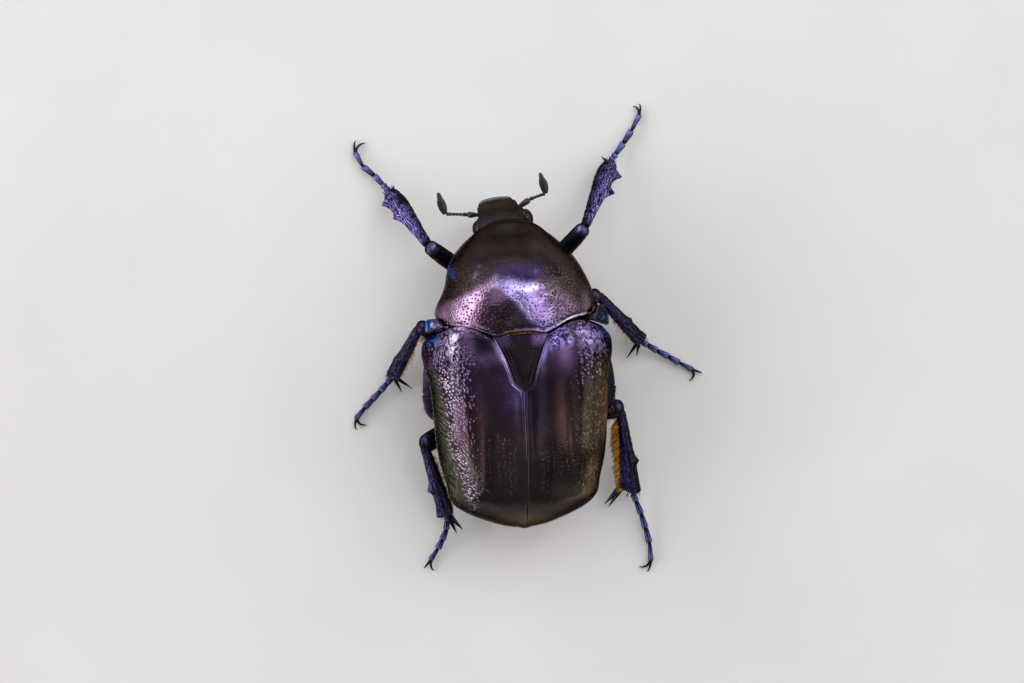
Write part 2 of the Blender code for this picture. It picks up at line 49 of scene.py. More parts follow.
# ------------------------------------------------------------ sizes as in the solids
CUT = 0.09
ELYTRA_L, ELYTRA_W, SHOULDER_W = 15.6, 6.85, 0.60
BACK_Z, TIP_Z = 10.885, 4.4
SCUT_L, SCUT_W = 4.88, 1.78
PRO_YAW, PRO_W, PRO_BASE = math.radians(2.1), 6.3, 0.04
HEAD_YAW, HEAD_PITCH, HEAD_L = math.radians(11.3), math.radians(48.0), 4.25
HEAD_AT = np.array([0.42, -7.36, 6.09])
THORAX_END, BELLY_Z, SHELL = 7.0, 1.55, 0.60


# ------------------------------------------------------------ small maths
def sm(a, b, x):
    t = np.clip((np.asarray(x, float) - a) / (b - a), 0.0, 1.0)
    return t * t * (3 - 2 * t)


def bell(x, mid, wide):
    return np.exp(-(((np.asarray(x, float) - mid) / wide) ** 2))


def profile(x, *knots):
    xs = np.array([k[0] for k in knots], float)
    ys = np.array([k[1] for k in knots], float)
    x = np.clip(np.asarray(x, float), xs[0], xs[-1])
    m = np.gradient(ys, xs)
    i = np.clip(np.searchsorted(xs, x) - 1, 0, len(xs) - 2)
    h = xs[i + 1] - xs[i]
    t = (x - xs[i]) / h
    return ((2 * t**3 - 3 * t**2 + 1) * ys[i] + (t**3 - 2 * t**2 + t) * h * m[i]
            + (-2 * t**3 + 3 * t**2) * ys[i + 1] + (t**3 - t**2) * h * m[i + 1])


def unit(a):
    a = np.asarray(a, float)
    return a / np.maximum(np.linalg.norm(a, axis=-1, keepdims=True), 1e-12)


def spline(points, n):
    p = np.array(points, float)
    if len(p) == 2:
        t = np.linspace(0, 1, n)[:, None]
        return p[0] * (1 - t) + p[1] * t
    d = np.r_[0, np.cumsum(np.linalg.norm(np.diff(p, axis=0), axis=1))]
    s = np.linspace(0, d[-1], n)
    return np.stack([profile(s, *zip(d, p[:, i])) for i in range(3)], axis=1)


def hashed(ix, iy, iz, seed):
    h = (ix * 73856093) ^ (iy * 19349663) ^ (iz * 83492791) ^ (seed * 2654435761)
    h &= 0xFFFFFFFF
    h = ((h ^ (h >> 15)) * 2246822519) & 0xFFFFFFFF
    h = ((h ^ (h >> 13)) * 3266489917) & 0xFFFFFFFF
    return ((h ^ (h >> 16)) & 0xFFFFFF) / 8388608.0 - 1.0


def noise(P, cell, seed=0):
    """Smooth value noise from -1 to 1 at points P, in cells of the given size (mm, or mm per axis)."""
    q = np.asarray(P, float) / cell + 31.7
    i = np.floor(q).astype(np.int64)
    f = q - i
    f = f * f * (3 - 2 * f)
    out = 0.0
    for a in (0, 1):
        for b in (0, 1):
            for c in (0, 1):
                w = ((f[..., 0] if a else 1 - f[..., 0]) * (f[..., 1] if b else 1 - f[..., 1])
                     * (f[..., 2] if c else 1 - f[..., 2]))
                out = out + w * hashed(i[..., 0] + a, i[..., 1] + b, i[..., 2] + c, seed)
    return out


def arc(width, top, edge, x0, n, power=2.5):
    x0 = min(x0, width * 0.98)
    a0 = math.asin((x0 / width) ** (power / 2))
    a = np.linspace(a0, math.pi / 2, n)
    x = width * np.sin(a) ** (2 / power)
    z = edge + (top - edge) * np.clip(np.cos(a), 0, 1) ** (2 / power)
    return x, z


def even(line, n):
    """n points at equal steps along a dense line (k, d)."""
    d = np.r_[0, np.cumsum(np.linalg.norm(np.diff(line, axis=0), axis=1))]
    s = np.linspace(0, d[-1], n)
    return np.stack([np.interp(s, d, line[:, i]) for i in range(line.shape[1])], axis=1)


def stations(a, b, n, weight):
    """n stations from a to b, closer where weight is large."""
    s = np.linspace(a, b, 2400)
    c = np.r_[0, np.cumsum(0.5 * (weight(s[1:]) + weight(s[:-1])))]
    return np.interp(np.linspace(0, c[-1], n), c, s)


# ------------------------------------------------------------ grids and their marks
def normals(P, wrap=False):
    du = np.gradient(P, axis=0)
    if wrap:
        dv = (np.roll(P, -1, axis=1) - np.roll(P, 1, axis=1)) / 2
    else:
        dv = np.gradient(P, axis=1)
    return unit(np.cross(du, dv))


def steps(P, wrap=False):
    """Local grid steps in mm along rows and across them."""
    a = np.linalg.norm(np.gradient(P, axis=0), axis=2)
    if wrap:
        b = np.linalg.norm(np.roll(P, -1, axis=1) - np.roll(P, 1, axis=1), axis=2) / 2
    else:
        b = np.linalg.norm(np.gradient(P, axis=1), axis=2)
    return a, b


def scatter(P, density, gap, rng, wrap=False, most=9000):
    """Grid places spread by density (per square mm), at least gap mm apart."""
    a, b = steps(P, wrap)
    w = (np.clip(density, 0, None) * a * b).ravel()
    goal = int(min(w.sum(), most))
    if goal < 1:
        return np.zeros((0, 2), int)
    gap = np.broadcast_to(gap, density.shape).ravel()
    k = int(min(goal * 5, np.count_nonzero(w)))
    pick = rng.choice(w.size, size=k, replace=False, p=w / w.sum())
    flat = P.reshape(-1, 3)
    cell = float(np.max(gap[pick]))
    seen, kept = {}, []
    for p in pick:
        q = flat[p]
        key = (int(q[0] // cell), int(q[1] // cell), int(q[2] // cell))
        ok = True
        g2 = gap[p] ** 2
        for dx in (-1, 0, 1):
            for dy in (-1, 0, 1):
                for dz in (-1, 0, 1):
                    for r in seen.get((key[0] + dx, key[1] + dy, key[2] + dz), ()):
                        if (q[0] - r[0]) ** 2 + (q[1] - r[1]) ** 2 + (q[2] - r[2]) ** 2 < g2:
                            ok = False
                            break
                    if not ok:
                        break
                if not ok:
                    break
            if not ok:
                break
        if ok:
            seen.setdefault(key, []).append((q[0], q[1], q[2]))
            kept.append(p)
            if len(kept) >= goal:
                break
    kept = np.array(kept, int)
    return np.stack([kept // density.shape[1], kept % density.shape[1]], axis=1)


def stamp(h, P, picks, radius, depth, rng, kind="pit", wrap=False, dark=None, shade=1.0, turn=0.0):
    """Press marks into the height field h: round pits, or horseshoes open to the rear."""
    R, C = h.shape
    radius = np.broadcast_to(radius, len(picks))
    depth = np.broadcast_to(depth, len(picks))
    for (i, j), r, d in zip(picks, radius, depth):
        i, j = int(i), int(j)
        i2 = min(i + 1, R - 1)
        j2 = (j + 1) % C if wrap else min(j + 1, C - 1)
        i1, j1 = i2 - 1, (j2 - 1) % C if wrap else j2 - 1
        ei, ej = P[i2, j] - P[i1, j], P[i, j2] - P[i, j1]
        li, lj = math.sqrt(ei @ ei) + 1e-9, math.sqrt(ej @ ej) + 1e-9
        ni, nj = int(1.9 * r / li) + 1, int(1.9 * r / lj) + 1
        if ni > 60 or nj > 60:
            continue
        ia, ib = max(i - ni, 0), min(i + ni + 1, R)
        if wrap:
            cols = np.arange(j - nj, j + nj + 1) % C
        else:
            cols = np.arange(max(j - nj, 0), min(j + nj + 1, C))
        W = P[ia:ib, cols] - (P[i, j] + ei * rng.uniform(-0.5, 0.5) + ej * rng.uniform(-0.5, 0.5))
        if kind == "pit":
            q = np.sqrt((W * W).sum(2)) / r
            m = np.clip(1 - q**3, 0, 1)
            h[ia:ib, cols] = np.minimum(h[ia:ib, cols], -d * m)
        else:
            u, v = W @ (ei / li), W @ (ej / lj)
            if turn:
                cu, su = math.cos(turn), math.sin(turn)
                u, v = u * cu + v * su, -u * su + v * cu
            q = np.sqrt(u * u + v * v)
            m = np.exp(-(((q - r * 0.72) / (0.34 * r)) ** 2)) * (1 - sm(0.1, 0.85, u / (q + 1e-6)))
            h[ia:ib, cols] = np.minimum(h[ia:ib, cols], -d * m)
        # dark records how deep each place lies in a mark; the colour code uses it for painted shade and painted glints
        # in the marks
        if dark is not None:
            dark[ia:ib, cols] = np.maximum(dark[ia:ib, cols], m * shade)


# ------------------------------------------------------------ meshes
# A part is (V, groups): points in mm, and groups of faces with each corner's place
# on the piece's own map.  A piece is one part or several joined ones.
FULL = (0.01, 0.01, 0.99, 0.99)


def cells(n, box=FULL, gap=0.004):
    """n equal places on the map, in rows."""
    u0, v0, u1, v1 = box
    cols = max(1, int(math.ceil(math.sqrt(n * (u1 - u0) / max(v1 - v0, 1e-6)))))
    rows = int(math.ceil(n / cols))
    du, dv = (u1 - u0) / cols, (v1 - v0) / rows
    g = min(gap, du * 0.12, dv * 0.12)
    return [(u0 + du * (k % cols) + g, v0 + dv * (k // cols) + g, u0 + du * (k % cols + 1) - g,
             v0 + dv * (k // cols + 1) - g) for k in range(n)]


def grid_group(r, c, wrap=False, off=0, flip=False, rect=FULL):
    m = c if wrap else c - 1
    i, j = np.meshgrid(np.arange(r - 1), np.arange(m), indexing="ij")
    k = (j + 1) % c
    F = np.stack([i * c + j, (i + 1) * c + j, (i + 1) * c + k, i * c + k], axis=-1).reshape(-1, 4) + off
    u0, v0, u1, v1 = rect
    U = np.stack([j, j, j + 1, j + 1], axis=-1).reshape(-1, 4) / m * (u1 - u0) + u0
    W = np.stack([i, i + 1, i + 1, i], axis=-1).reshape(-1, 4) / (r - 1) * (v1 - v0) + v0
    T = np.stack([U, W], axis=-1)
    return (F[:, ::-1], T[:, ::-1]) if flip else (F, T)


def border(r, c, off=0):
    """Border of a grid in its faces' sense, with a place from 0 to 4 round it."""
    down = [(i * c, i / (r - 1)) for i in range(r - 1)]
    right = [((r - 1) * c + j, 1 + j / (c - 1)) for j in range(c - 1)]
    up = [(i * c + c - 1, 2 + (r - 1 - i) / (r - 1)) for i in range(r - 1, 0, -1)]
    left = [(j, 3 + (c - 1 - j) / (c - 1)) for j in range(c - 1, 0, -1)]
    loop = down + right + up + left
    return [a + off for a, _ in loop], [b for _, b in loop]


def zip_group(A, ta, B, tb, rect):
    """Triangles between two closed loops; A runs in its faces' sense and B against its own."""
    tris, uvs, i, j, n, m = [], [], 0, 0, len(A), len(B)
    ta, tb = list(ta) + [ta[0] + 4], list(tb) + [tb[0] + 4]
    u0, v0, u1, v1 = rect
    du = (u1 - u0) / 4
    while i < n or j < m:
        if j >= m or (i < n and ta[i + 1] <= tb[j + 1]):
            tris.append((A[(i + 1) % n], A[i % n], B[j % m]))
            uvs.append(((u0 + ta[i + 1] * du, v0), (u0 + ta[i] * du, v0), (u0 + tb[j] * du, v1)))
            i += 1
        else:
            tris.append((B[j % m], B[(j + 1) % m], A[i % n]))
            uvs.append(((u0 + tb[j] * du, v1), (u0 + tb[j + 1] * du, v1), (u0 + ta[i] * du, v0)))
            j += 1
    return np.array(tris, int), np.array(uvs, float)


def volume(V, groups):
    total = 0.0
    for f, _ in groups:
        for k in range(1, f.shape[1] - 1):
            a, b, c = V[f[:, 0]], V[f[:, k]], V[f[:, k + 1]]
            total += np.einsum("ij,ij->i", a, np.cross(b, c)).sum()
    return total / 6


def outward(V, groups):
    if volume(V - V.mean(0), groups) < 0:
        groups = [(f[:, ::-1], t[:, ::-1]) for f, t in groups]
    return V, groups


def shell_part(outer, inner, share=0.80):
    """One closed body from an outer and an inner grid whose borders run alike."""
    r, c = outer.shape[:2]
    r2, c2 = inner.shape[:2]
    V = np.concatenate([outer.reshape(-1, 3), inner.reshape(-1, 3)])
    A, ta = border(r, c)
    B, tb = border(r2, c2, r * c)
    return outward(V, [grid_group(r, c, rect=(0.01, 0.01, 0.99, share)),
                       grid_group(r2, c2, off=r * c, flip=True, rect=(0.01, share + 0.05, 0.99, 0.99)),
                       zip_group(A, ta, B, tb, (0.01, share + 0.01, 0.99, share + 0.04))])


def tube_part(P, rect=FULL):
    """One closed body from rings (n, m, 3), closed at both ends."""
    n, m = P.shape[:2]
    V = np.concatenate([P.reshape(-1, 3), [P[0].mean(0)], [P[-1].mean(0)]])
    u0, v0, u1, v1 = rect
    dv = (v1 - v0) * 0.04
    j = np.arange(m)
    k = (j + 1) % m
    ua, ub, um = u0 + (u1 - u0) * j / m, u0 + (u1 - u0) * (j + 1) / m, u0 + (u1 - u0) * (j + 0.5) / m

    def corner(u, v):
        return np.stack([u, np.full(m, v)], axis=-1)

    a = np.stack([k, j, np.full(m, n * m)], axis=1)
    at = np.stack([corner(ub, v0 + dv), corner(ua, v0 + dv), corner(um, v0)], axis=1)
    b = np.stack([(n - 1) * m + j, (n - 1) * m + k, np.full(m, n * m + 1)], axis=1)
    bt = np.stack([corner(ua, v1 - dv), corner(ub, v1 - dv), corner(um, v1)], axis=1)
    return outward(V, [grid_group(n, m, wrap=True, rect=(u0, v0 + dv, u1, v1 - dv)), (a, at), (b, bt)])


def join(parts):
    """[(V, groups, tint, satin)] into one."""
    Vs, groups, cols, glos, off = [], [], [], [], 0
    for V, gs, col, glo in parts:
        Vs.append(V)
        groups += [(f + off, t) for f, t in gs]
        cols.append(np.broadcast_to(col, (len(V), 3)))
        glos.append(np.broadcast_to(glo, len(V)))
        off += len(V)
    return np.concatenate(Vs), groups, np.concatenate(cols), np.concatenate(glos)


def build(name, V, groups, mat, col=(1, 1, 1), glo=0.3, flat=False):
    """A mesh object from a part."""
    V = np.asarray(V, float)
    me = bpy.data.meshes.new(name)
    me.vertices.add(len(V))
    me.vertices.foreach_set("co", ((V + SH) * MM).astype(np.float32).ravel())
    sizes = np.concatenate([np.full(len(f), f.shape[1], np.int32) for f, _ in groups])
    loops = np.concatenate([np.ascontiguousarray(f).ravel() for f, _ in groups]).astype(np.int32)
    uv = np.concatenate([np.ascontiguousarray(t).reshape(-1, 2) for _, t in groups]).astype(np.float32)
    me.loops.add(len(loops))
    me.loops.foreach_set("vertex_index", loops)
    me.polygons.add(len(sizes))
    me.polygons.foreach_set("loop_start", np.r_[0, np.cumsum(sizes)[:-1]].astype(np.int32))
    layer = me.uv_layers.new(name="OFBake")
    layer.data.foreach_set("uv", uv.ravel())
    me.update(calc_edges=True)
    me.polygons.foreach_set("use_smooth", np.full(len(me.polygons), not flat))
    at = me.attributes.new("tint", "FLOAT_COLOR", "POINT")
    c = np.concatenate([np.broadcast_to(col, (len(V), 3)), np.ones((len(V), 1))], axis=1)
    at.data.foreach_set("color", np.clip(c, 0, 1).astype(np.float32).ravel())
    at = me.attributes.new("satin", "FLOAT", "POINT")
    at.data.foreach_set("value", np.broadcast_to(glo, len(V)).astype(np.float32).ravel())
    me.materials.append(mat)
    ob = bpy.data.objects.new(name, me)
    bpy.context.scene.collection.objects.link(ob)
    return ob


def frames(path, side):
    t = unit(np.gradient(path, axis=0))
    s = np.broadcast_to(np.asarray(side, float), path.shape)
    s = unit(s - t * (s * t).sum(1)[:, None])
    return t, s, np.cross(t, s)


def limb(points, wide, thick, side, n, m, square=2.0, ends=(0.0, 0.0), stations_at=None):
    """Rings round a path; ends rounds each end over that share of the length."""
    path = spline(points, 400)
    u0 = np.linspace(0, 1, 400)
    lo, hi = ends
    if stations_at is None:
        u = np.linspace(0, 1, n)
        if lo or hi:
            k = max(6, n // 9)
            a = lo * (1 - np.cos(np.linspace(0, math.pi / 2, k))) if lo else np.array([0.0])
            b = 1 - hi * (1 - np.cos(np.linspace(math.pi / 2, 0, k))) if hi else np.array([1.0])
            u = np.r_[a, np.linspace(a[-1], b[0], n - len(a) - len(b) + 2)[1:-1], b]
    else:
        u = stations_at
    centre = np.stack([np.interp(u, u0, path[:, i]) for i in range(3)], axis=1)
    tt, ss, bb = frames(path, side)
    t, s, b = (unit(np.stack([np.interp(u, u0, a[:, i]) for i in range(3)], axis=1)) for a in (tt, ss, bb))
    w, h = profile(u, *wide), profile(u, *thick)
    close = np.ones_like(u)
    if lo:
        close *= np.sqrt(np.clip(1 - np.clip(1 - u / lo, 0, 1) ** 2, 0, 1))
    if hi:
        close *= np.sqrt(np.clip(1 - np.clip(1 - (1 - u) / hi, 0, 1) ** 2, 0, 1))
    close = np.maximum(close, 0.03)
    f = 2 * math.pi * np.arange(m) / m
    c, q = np.cos(f), np.sin(f)
    c = np.sign(c) * np.abs(c) ** (2 / square)
    q = np.sign(q) * np.abs(q) ** (2 / square)
    P = (centre[:, None] + s[:, None] * (w * close)[:, None, None] * c[None, :, None]
         + b[:, None] * (h * close)[:, None, None] * q[None, :, None])
    return P, u, f, (t, s, b)


def put(ob, *nodes):
    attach(ob, "root")
    if nodes:
        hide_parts(*nodes)
    return ob


# ------------------------------------------------------------ materials
def links_of(m):
    return m.node_tree.nodes, m.node_tree.links


def cuticle(name, metallic=1.0, coat=0.3, coat_rough=0.10, ior=1.5, mottle=0.18, mottle_scale=1400.0, pore=0.0,
            pore_scale=5200.0, grain=0.25, grain_scale=9000.0, bump_mm=0.010, rough_var=0.06, spec=0.5, tone=(1.0, 1.0), rim=(0.30, 0.25, 0.23)):
    """Beetle shell: the tint and the satin value come from the shape, and the fine
    mottling, pores and grain from procedural textures in the object's own space.
    On the shell plates and legs the tint also holds painted highlights, painted
    reflections and painted shade."""
    m = bpy.data.materials.new(name)
    m.use_nodes = True
    N, L = links_of(m)
    bs = N["Principled BSDF"]
    bs.inputs["Metallic"].default_value = metallic
    bs.inputs["Coat Weight"].default_value = coat
    bs.inputs["Coat Roughness"].default_value = coat_rough
    bs.inputs["IOR"].default_value = ior
    bs.inputs["Specular IOR Level"].default_value = spec
    bs.inputs["Specular Tint"].default_value = (*rim, 1)
    co = N.new("ShaderNodeTexCoord")
    tint = N.new("ShaderNodeAttribute")
    tint.attribute_name = "tint"
    sat = N.new("ShaderNodeAttribute")
    sat.attribute_name = "satin"
    n1 = N.new("ShaderNodeTexNoise")
    n1.inputs["Scale"].default_value = mottle_scale
    n1.inputs["Detail"].default_value = 4
    L.new(co.outputs["Object"], n1.inputs["Vector"])
    r1 = N.new("ShaderNodeMapRange")
    r1.inputs["From Min"].default_value = 0.3
    r1.inputs["From Max"].default_value = 0.7
    r1.inputs["To Min"].default_value = (1 - mottle) * tone[0]
    r1.inputs["To Max"].default_value = (1 + mottle) * tone[1]
    L.new(n1.outputs["Fac"], r1.inputs["Value"])
    mul = N.new("ShaderNodeVectorMath")
    mul.operation = "SCALE"
    L.new(tint.outputs["Color"], mul.inputs[0])
    L.new(r1.outputs["Result"], mul.inputs["Scale"])
    L.new(mul.outputs["Vector"], bs.inputs["Base Color"])
    n2 = N.new("ShaderNodeTexNoise")
    n2.inputs["Scale"].default_value = grain_scale
    n2.inputs["Detail"].default_value = 3
    L.new(co.outputs["Object"], n2.inputs["Vector"])
    rr = N.new("ShaderNodeMapRange")
    rr.inputs["From Min"].default_value = 0.25
    rr.inputs["From Max"].default_value = 0.75
    rr.inputs["To Min"].default_value = -rough_var
    rr.inputs["To Max"].default_value = rough_var
    L.new(n2.outputs["Fac"], rr.inputs["Value"])
    add = N.new("ShaderNodeMath")
    add.operation = "ADD"
    add.use_clamp = True
    L.new(sat.outputs["Fac"], add.inputs[0])
    L.new(rr.outputs["Result"], add.inputs[1])
    L.new(add.outputs["Value"], bs.inputs["Roughness"])
    height = N.new("ShaderNodeMath")
    height.operation = "MULTIPLY"
    height.inputs[1].default_value = grain
    L.new(n2.outputs["Fac"], height.inputs[0])
    top = height.outputs["Value"]
    if pore:
        v = N.new("ShaderNodeTexVoronoi")
        v.inputs["Scale"].default_value = pore_scale
        L.new(co.outputs["Object"], v.inputs["Vector"])
        p = N.new("ShaderNodeMapRange")
        p.inputs["From Min"].default_value = 0.08
        p.inputs["From Max"].default_value = 0.30
        p.inputs["To Min"].default_value = -pore
        p.inputs["To Max"].default_value = 0.0
        L.new(v.outputs["Distance"], p.inputs["Value"])
        s = N.new("ShaderNodeMath")
        s.operation = "ADD"
        L.new(top, s.inputs[0])
        L.new(p.outputs["Result"], s.inputs[1])
        top = s.outputs["Value"]
    bp = N.new("ShaderNodeBump")
    bp.inputs["Strength"].default_value = 1.0
    bp.inputs["Distance"].default_value = bump_mm * MM
    L.new(top, bp.inputs["Height"])
    L.new(bp.outputs["Normal"], bs.inputs["Normal"])
    return m


def mixed(*pairs):
    """Blend colours by weights laid one over the other: (colour) or (colour, weight)."""
    out = None
    for p in pairs:
        if out is None:
            out = np.asarray(p[0], float) * np.ones(3)
            continue
        c, w = np.asarray(p[0], float), np.asarray(p[1], float)[..., None]
        out = out * (1 - w) + c * w
    return out


# ------------------------------------------------------------ wing cases
def elytra_half(s):
    s = np.asarray(s, float)
    w = ELYTRA_W - 0.04 * np.clip(s - 5, 0, None)
    w = w * np.sqrt(np.clip(1 - np.clip((s - 5) / (ELYTRA_L - 5), 0, 1) ** 4, 0, 1))
    w = w + SHOULDER_W * np.exp(-((s - 1.6) / 2.0) ** 2) + 0.55 * bell(s, 13.45, 1.15) - 0.18 * bell(s, 15.1, 0.45)
    c = np.clip((0.9 - s) / 0.9, 0, 1)
    return w - 0.9 * (1 - np.sqrt(1 - c * c))


def elytra_top(s):
    s = np.asarray(s, float)
    front = BACK_Z - 0.55 * (np.clip(3.5 - s, 0, None) / 3.5) ** 2
    k = np.clip((s - 3.5) / (ELYTRA_L - 3.5), 0, 1)
    rear = TIP_Z + (BACK_Z - TIP_Z) * (1 - k**3) ** (1 / 1.8)
    return np.where(s < 3.5, front, rear) - 0.28 * (np.clip(0.8 - s, 0, None) / 0.8) ** 2


def elytra_edge(s):
    return profile(s, (0, 5.3), (1.8, 5.2), (3.6, 5.75), (5.5, 5.85), (8.0, 5.45),
                   (11, 5.0), (13.5, 4.6), (ELYTRA_L, TIP_Z - 0.15))


def front_line(x):
    return profile(np.abs(x), (0, 0.62), (1.9, 0.60), (2.6, 0.18), (3.6, -0.27), (4.5, -0.44),
                   (5.6, -0.24), (6.5, 0.04), (7.4, 0.30))


def wing_y(x, s):
    return s + front_line(x) * np.clip(1 - s / 4.0, 0, 1) ** 2


def scut_half(y):
    return SCUT_W * profile(y, (0.0, 1.16), (0.8, 1.11), (1.3, 0.96), (2.0, 0.80), (3.06, 0.59), (3.83, 0.46),
                            (4.31, 0.365), (4.5, 0.27), (4.66, 0.17), (4.78, 0.085), (SCUT_L, 0.0))


def wing_surface(rows, cols, thin=0.0):
    """Right-hand wing case surface (x > 0), rows front to tip, columns from the suture out."""
    P = np.zeros((len(rows), cols, 3))
    for i, s in enumerate(rows):
        w, top, edge = float(elytra_half(s)), float(elytra_top(s)), float(elytra_edge(s))
        t = min(thin, 0.35 * w, 0.35 * (top - edge))
        x0 = max(float(scut_half(wing_y(0.0, s))) + 0.03, 0.010)
        x, z = arc(w - t, top - t, edge + (0.02 if thin else 0.0), x0, 500)
        line = even(np.stack([x, z], axis=1), cols)
        P[i, :, 0], P[i, :, 2] = line[:, 0], line[:, 1]
        P[i, :, 1] = wing_y(line[:, 0], s)
    return P


def wing_weight(s):
    dw = np.gradient(elytra_half(s), s)
    dz = np.gradient(elytra_top(s), s)
    return np.clip(np.sqrt(1 + 0.35 * dw**2 + 0.5 * dz**2), 0, 5)


def wing(sign, name):
    rng = np.random.default_rng(11 if sign > 0 else 29)
    rows = stations(0.0, 15.57, 352, wing_weight)
    P = wing_surface(rows, 262)
    N = normals(P)
    N *= np.sign(N[len(rows) // 2, 40, 2])
    x, s, z = P[..., 0], np.broadcast_to(rows[:, None], P.shape[:2]), P[..., 2]
    seg = np.linalg.norm(np.diff(P, axis=1), axis=2)
    d = np.concatenate([np.zeros((len(rows), 1)), np.cumsum(seg, axis=1)], axis=1)   # from the suture
    e = d[:, -1:] - d                                                                # from the outer edge
    left = sign > 0

    # the form: shoulder and tip bumps, flat disc behind, ribs, raised seams and beads
    h = 0.16 * bell(x, 5.3, 1.0) * bell(s, 1.9, 1.2) + 0.20 * bell(x, 3.8, 0.9) * bell(s, 13.15, 0.7) * 0.7
    h = h - 0.10 * bell(x, 1.9, 1.0) * sm(6.5, 9.5, s) * (1 - sm(12.2, 14.2, s))
    h = h - 0.07 * bell(x, 3.7, 0.6) * sm(2.5, 5, s) * (1 - sm(8, 12, s))
    h = h + 0.035 * bell(x, 3.1, 0.35) * sm(6.5, 9, s) * (1 - sm(12, 13.5, s))
    h = h - 0.10 * bell(x, 3.2, 0.9) * bell(s, 0.9, 0.8)                    # dip inside the shoulder
    seam = sm(4.5, 5.6, s)
    h = h + 0.024 * bell(d, 0.060, 0.040) * seam * (1 - 0.72 * sm(7, 10, s))
    h = h - 0.008 * bell(d, 0.15, 0.040) * seam - 0.014 * bell(d, 0.45, 0.28) * seam * (1 - 0.5 * sm(8, 11, s))
    h = h + 0.050 * bell(d, 0.06, 0.07) * (1 - seam) - 0.035 * bell(d, 0.20, 0.07) * (1 - seam)
    h = h + 0.045 * bell(e, 0.06, 0.06) * sm(0.3, 1.2, s) - 0.05 * bell(e, 0.21, 0.08) * sm(0.3, 1.2, s)
    h = h + 0.035 * bell(s, 0.10, 0.10) - 0.03 * bell(s, 0.34, 0.12)
    h = h + 0.010 * noise(P, 1.6, 3) + 0.004 * noise(P, 0.5, 4)

    # oblique wrinkles low on the sides
    side = sm(5.2, 6.1, x) * sm(1.8, 3.0, s) * (1 - sm(7.5, 10.5, s)) * (1.0 if left else 0.35)
    side = np.maximum(side, 0.55 * sm(0.9, 0.2, e / 2.6) * sm(3, 5, s) * (1 - sm(12, 14, s)))
    warp = 0.35 * noise(P, 0.7, 7) + 0.15 * noise(P, 0.25, 8)
    q = (d * 0.55 + s * 1.0) / 0.205 + warp * 2.2
    h = h + side * 0.036 * (np.abs(np.sin(q * math.pi * 0.5)) - 0.6) * (0.6 + 0.6 * noise(P, 0.45, 9))

    # a network of crooked grooves round the shoulders
    net = sm(0.06, 0.30, np.abs(noise(P, (0.33, 0.40, 0.33), 71) + 0.35 * noise(P, 0.16, 72)))
    region = (1 - sm(2.6, 4.2, s + 0.5 * noise(P, 0.9, 73))) * (sm(4.2, 4.9, x) if left else np.maximum(sm(4.2, 4.9, x), sm(1.9, 2.5, x) * (1 - sm(3.5, 4.0, x)) * (1 - sm(1.3, 2.1, s))))
    h = h - 0.040 * (1 - net) * region * sm(0.05, 0.3, s)
    if not left:
        h = h + 0.0075 * (noise(P, 0.22, 81) + 0.5 * noise(P, 0.13, 82)) * sm(3.9, 4.9, x) * sm(2.5, 4.0, s)

    # punctures
    pit = np.zeros_like(h)
    dark = np.zeros_like(h)
    n1 = 0.5 + 0.5 * noise(P, 0.9, 12)
    shoulder = sm(-1.2, -0.3, P[..., 1] - 0.0) * (1 - sm(2.0, 3.6, s)) * sm(1.9, 2.8, x)
    fy = P[..., 1] - front_line(x)
    shoulder = shoulder * (np.where(x < 4.3, 1 - sm(0.40, 0.75, fy), 1.0) if left else np.where(x < 4.2, 1 - sm(1.1, 1.7, s), 1.0))
    inner = profile(s, (0, 4.2), (2, 4.45), (4.8, 4.62), (7.3, 4.78), (9.8, 4.80), (12.3, 3.98), (14, 3.8)) if left else profile(s, (0, 4.2), (2, 4.35), (4.8, 4.45), (7.3, 4.45), (9.8, 4.55), (12.3, 4.25), (14, 4.2))
    outer = profile(s, (0, 7.2), (2, 6.65), (4.8, 6.0), (7.3, 5.75), (9.8, 5.45), (12.3, 4.60 if left else 5.0), (14, 4.3 if left else 4.7))
    band = (sm(-1.0, 0.55, x - inner) if left else sm(-0.35, 0.25, x - inner)) * (1 - sm(-0.2, 0.5, x - outer)) * sm(0.2, 1.2, s) * (1 - sm(13.5, 14.2, s))
    rate = (24 if left else 19) * np.maximum(shoulder * 0.4, band * (0.80 if left else 0.45 * (1 - 0.95 * sm(3.0, 4.2, s)))) * (0.35 + 0.9 * n1)
    near = sm(0.15, 0.45, d) * sm(0.1, 0.3, e) * sm(0.25, 0.5, s)
    picks = scatter(P, rate * near, 0.165 if left else 0.185, rng)
    r = rng.uniform(0.066, 0.100, len(picks)) if left else rng.uniform(0.085, 0.120, len(picks))
    stamp(pit, P, picks, r, r * 0.52, rng, "shoe", dark=dark, turn=0.5 if left else -0.5)
    # small single dots spilling inwards from the band and over the disc
    thin = sm(-1.5, -0.1, x - inner) * (1 - band) * (1 - sm(0, 1.2, x - inner)) * sm(1.5, 3, s) * (1 - sm(8, 11, s))
    fine = 1.6 * sm(1.2, 2.4, x) * (1 - sm(13.5, 14.5, s)) * sm(7, 9, s)
    picks = scatter(P, (4.2 * thin + fine) * near, 0.21, rng)
    r = rng.uniform(0.045, 0.065, len(picks))
    stamp(pit, P, picks, r, 0.024, rng, dark=dark, shade=0.7)
    # fine dots on the sides and the tip
    low = sm(0.2, 0.8, e) * (1 - sm(1.6, 2.6, e)) * sm(2, 4, s)
    tip = sm(13.3, 14.2, s)
    picks = scatter(P, ((7 if left else 22) * low + 9 * tip + (0 if left else 7) * band * sm(3.5, 4.5, s)) * near, 0.15, rng)
    stamp(pit, P, picks, rng.uniform(0.035, 0.05, len(picks)), 0.014, rng, dark=dark, shade=0.4)
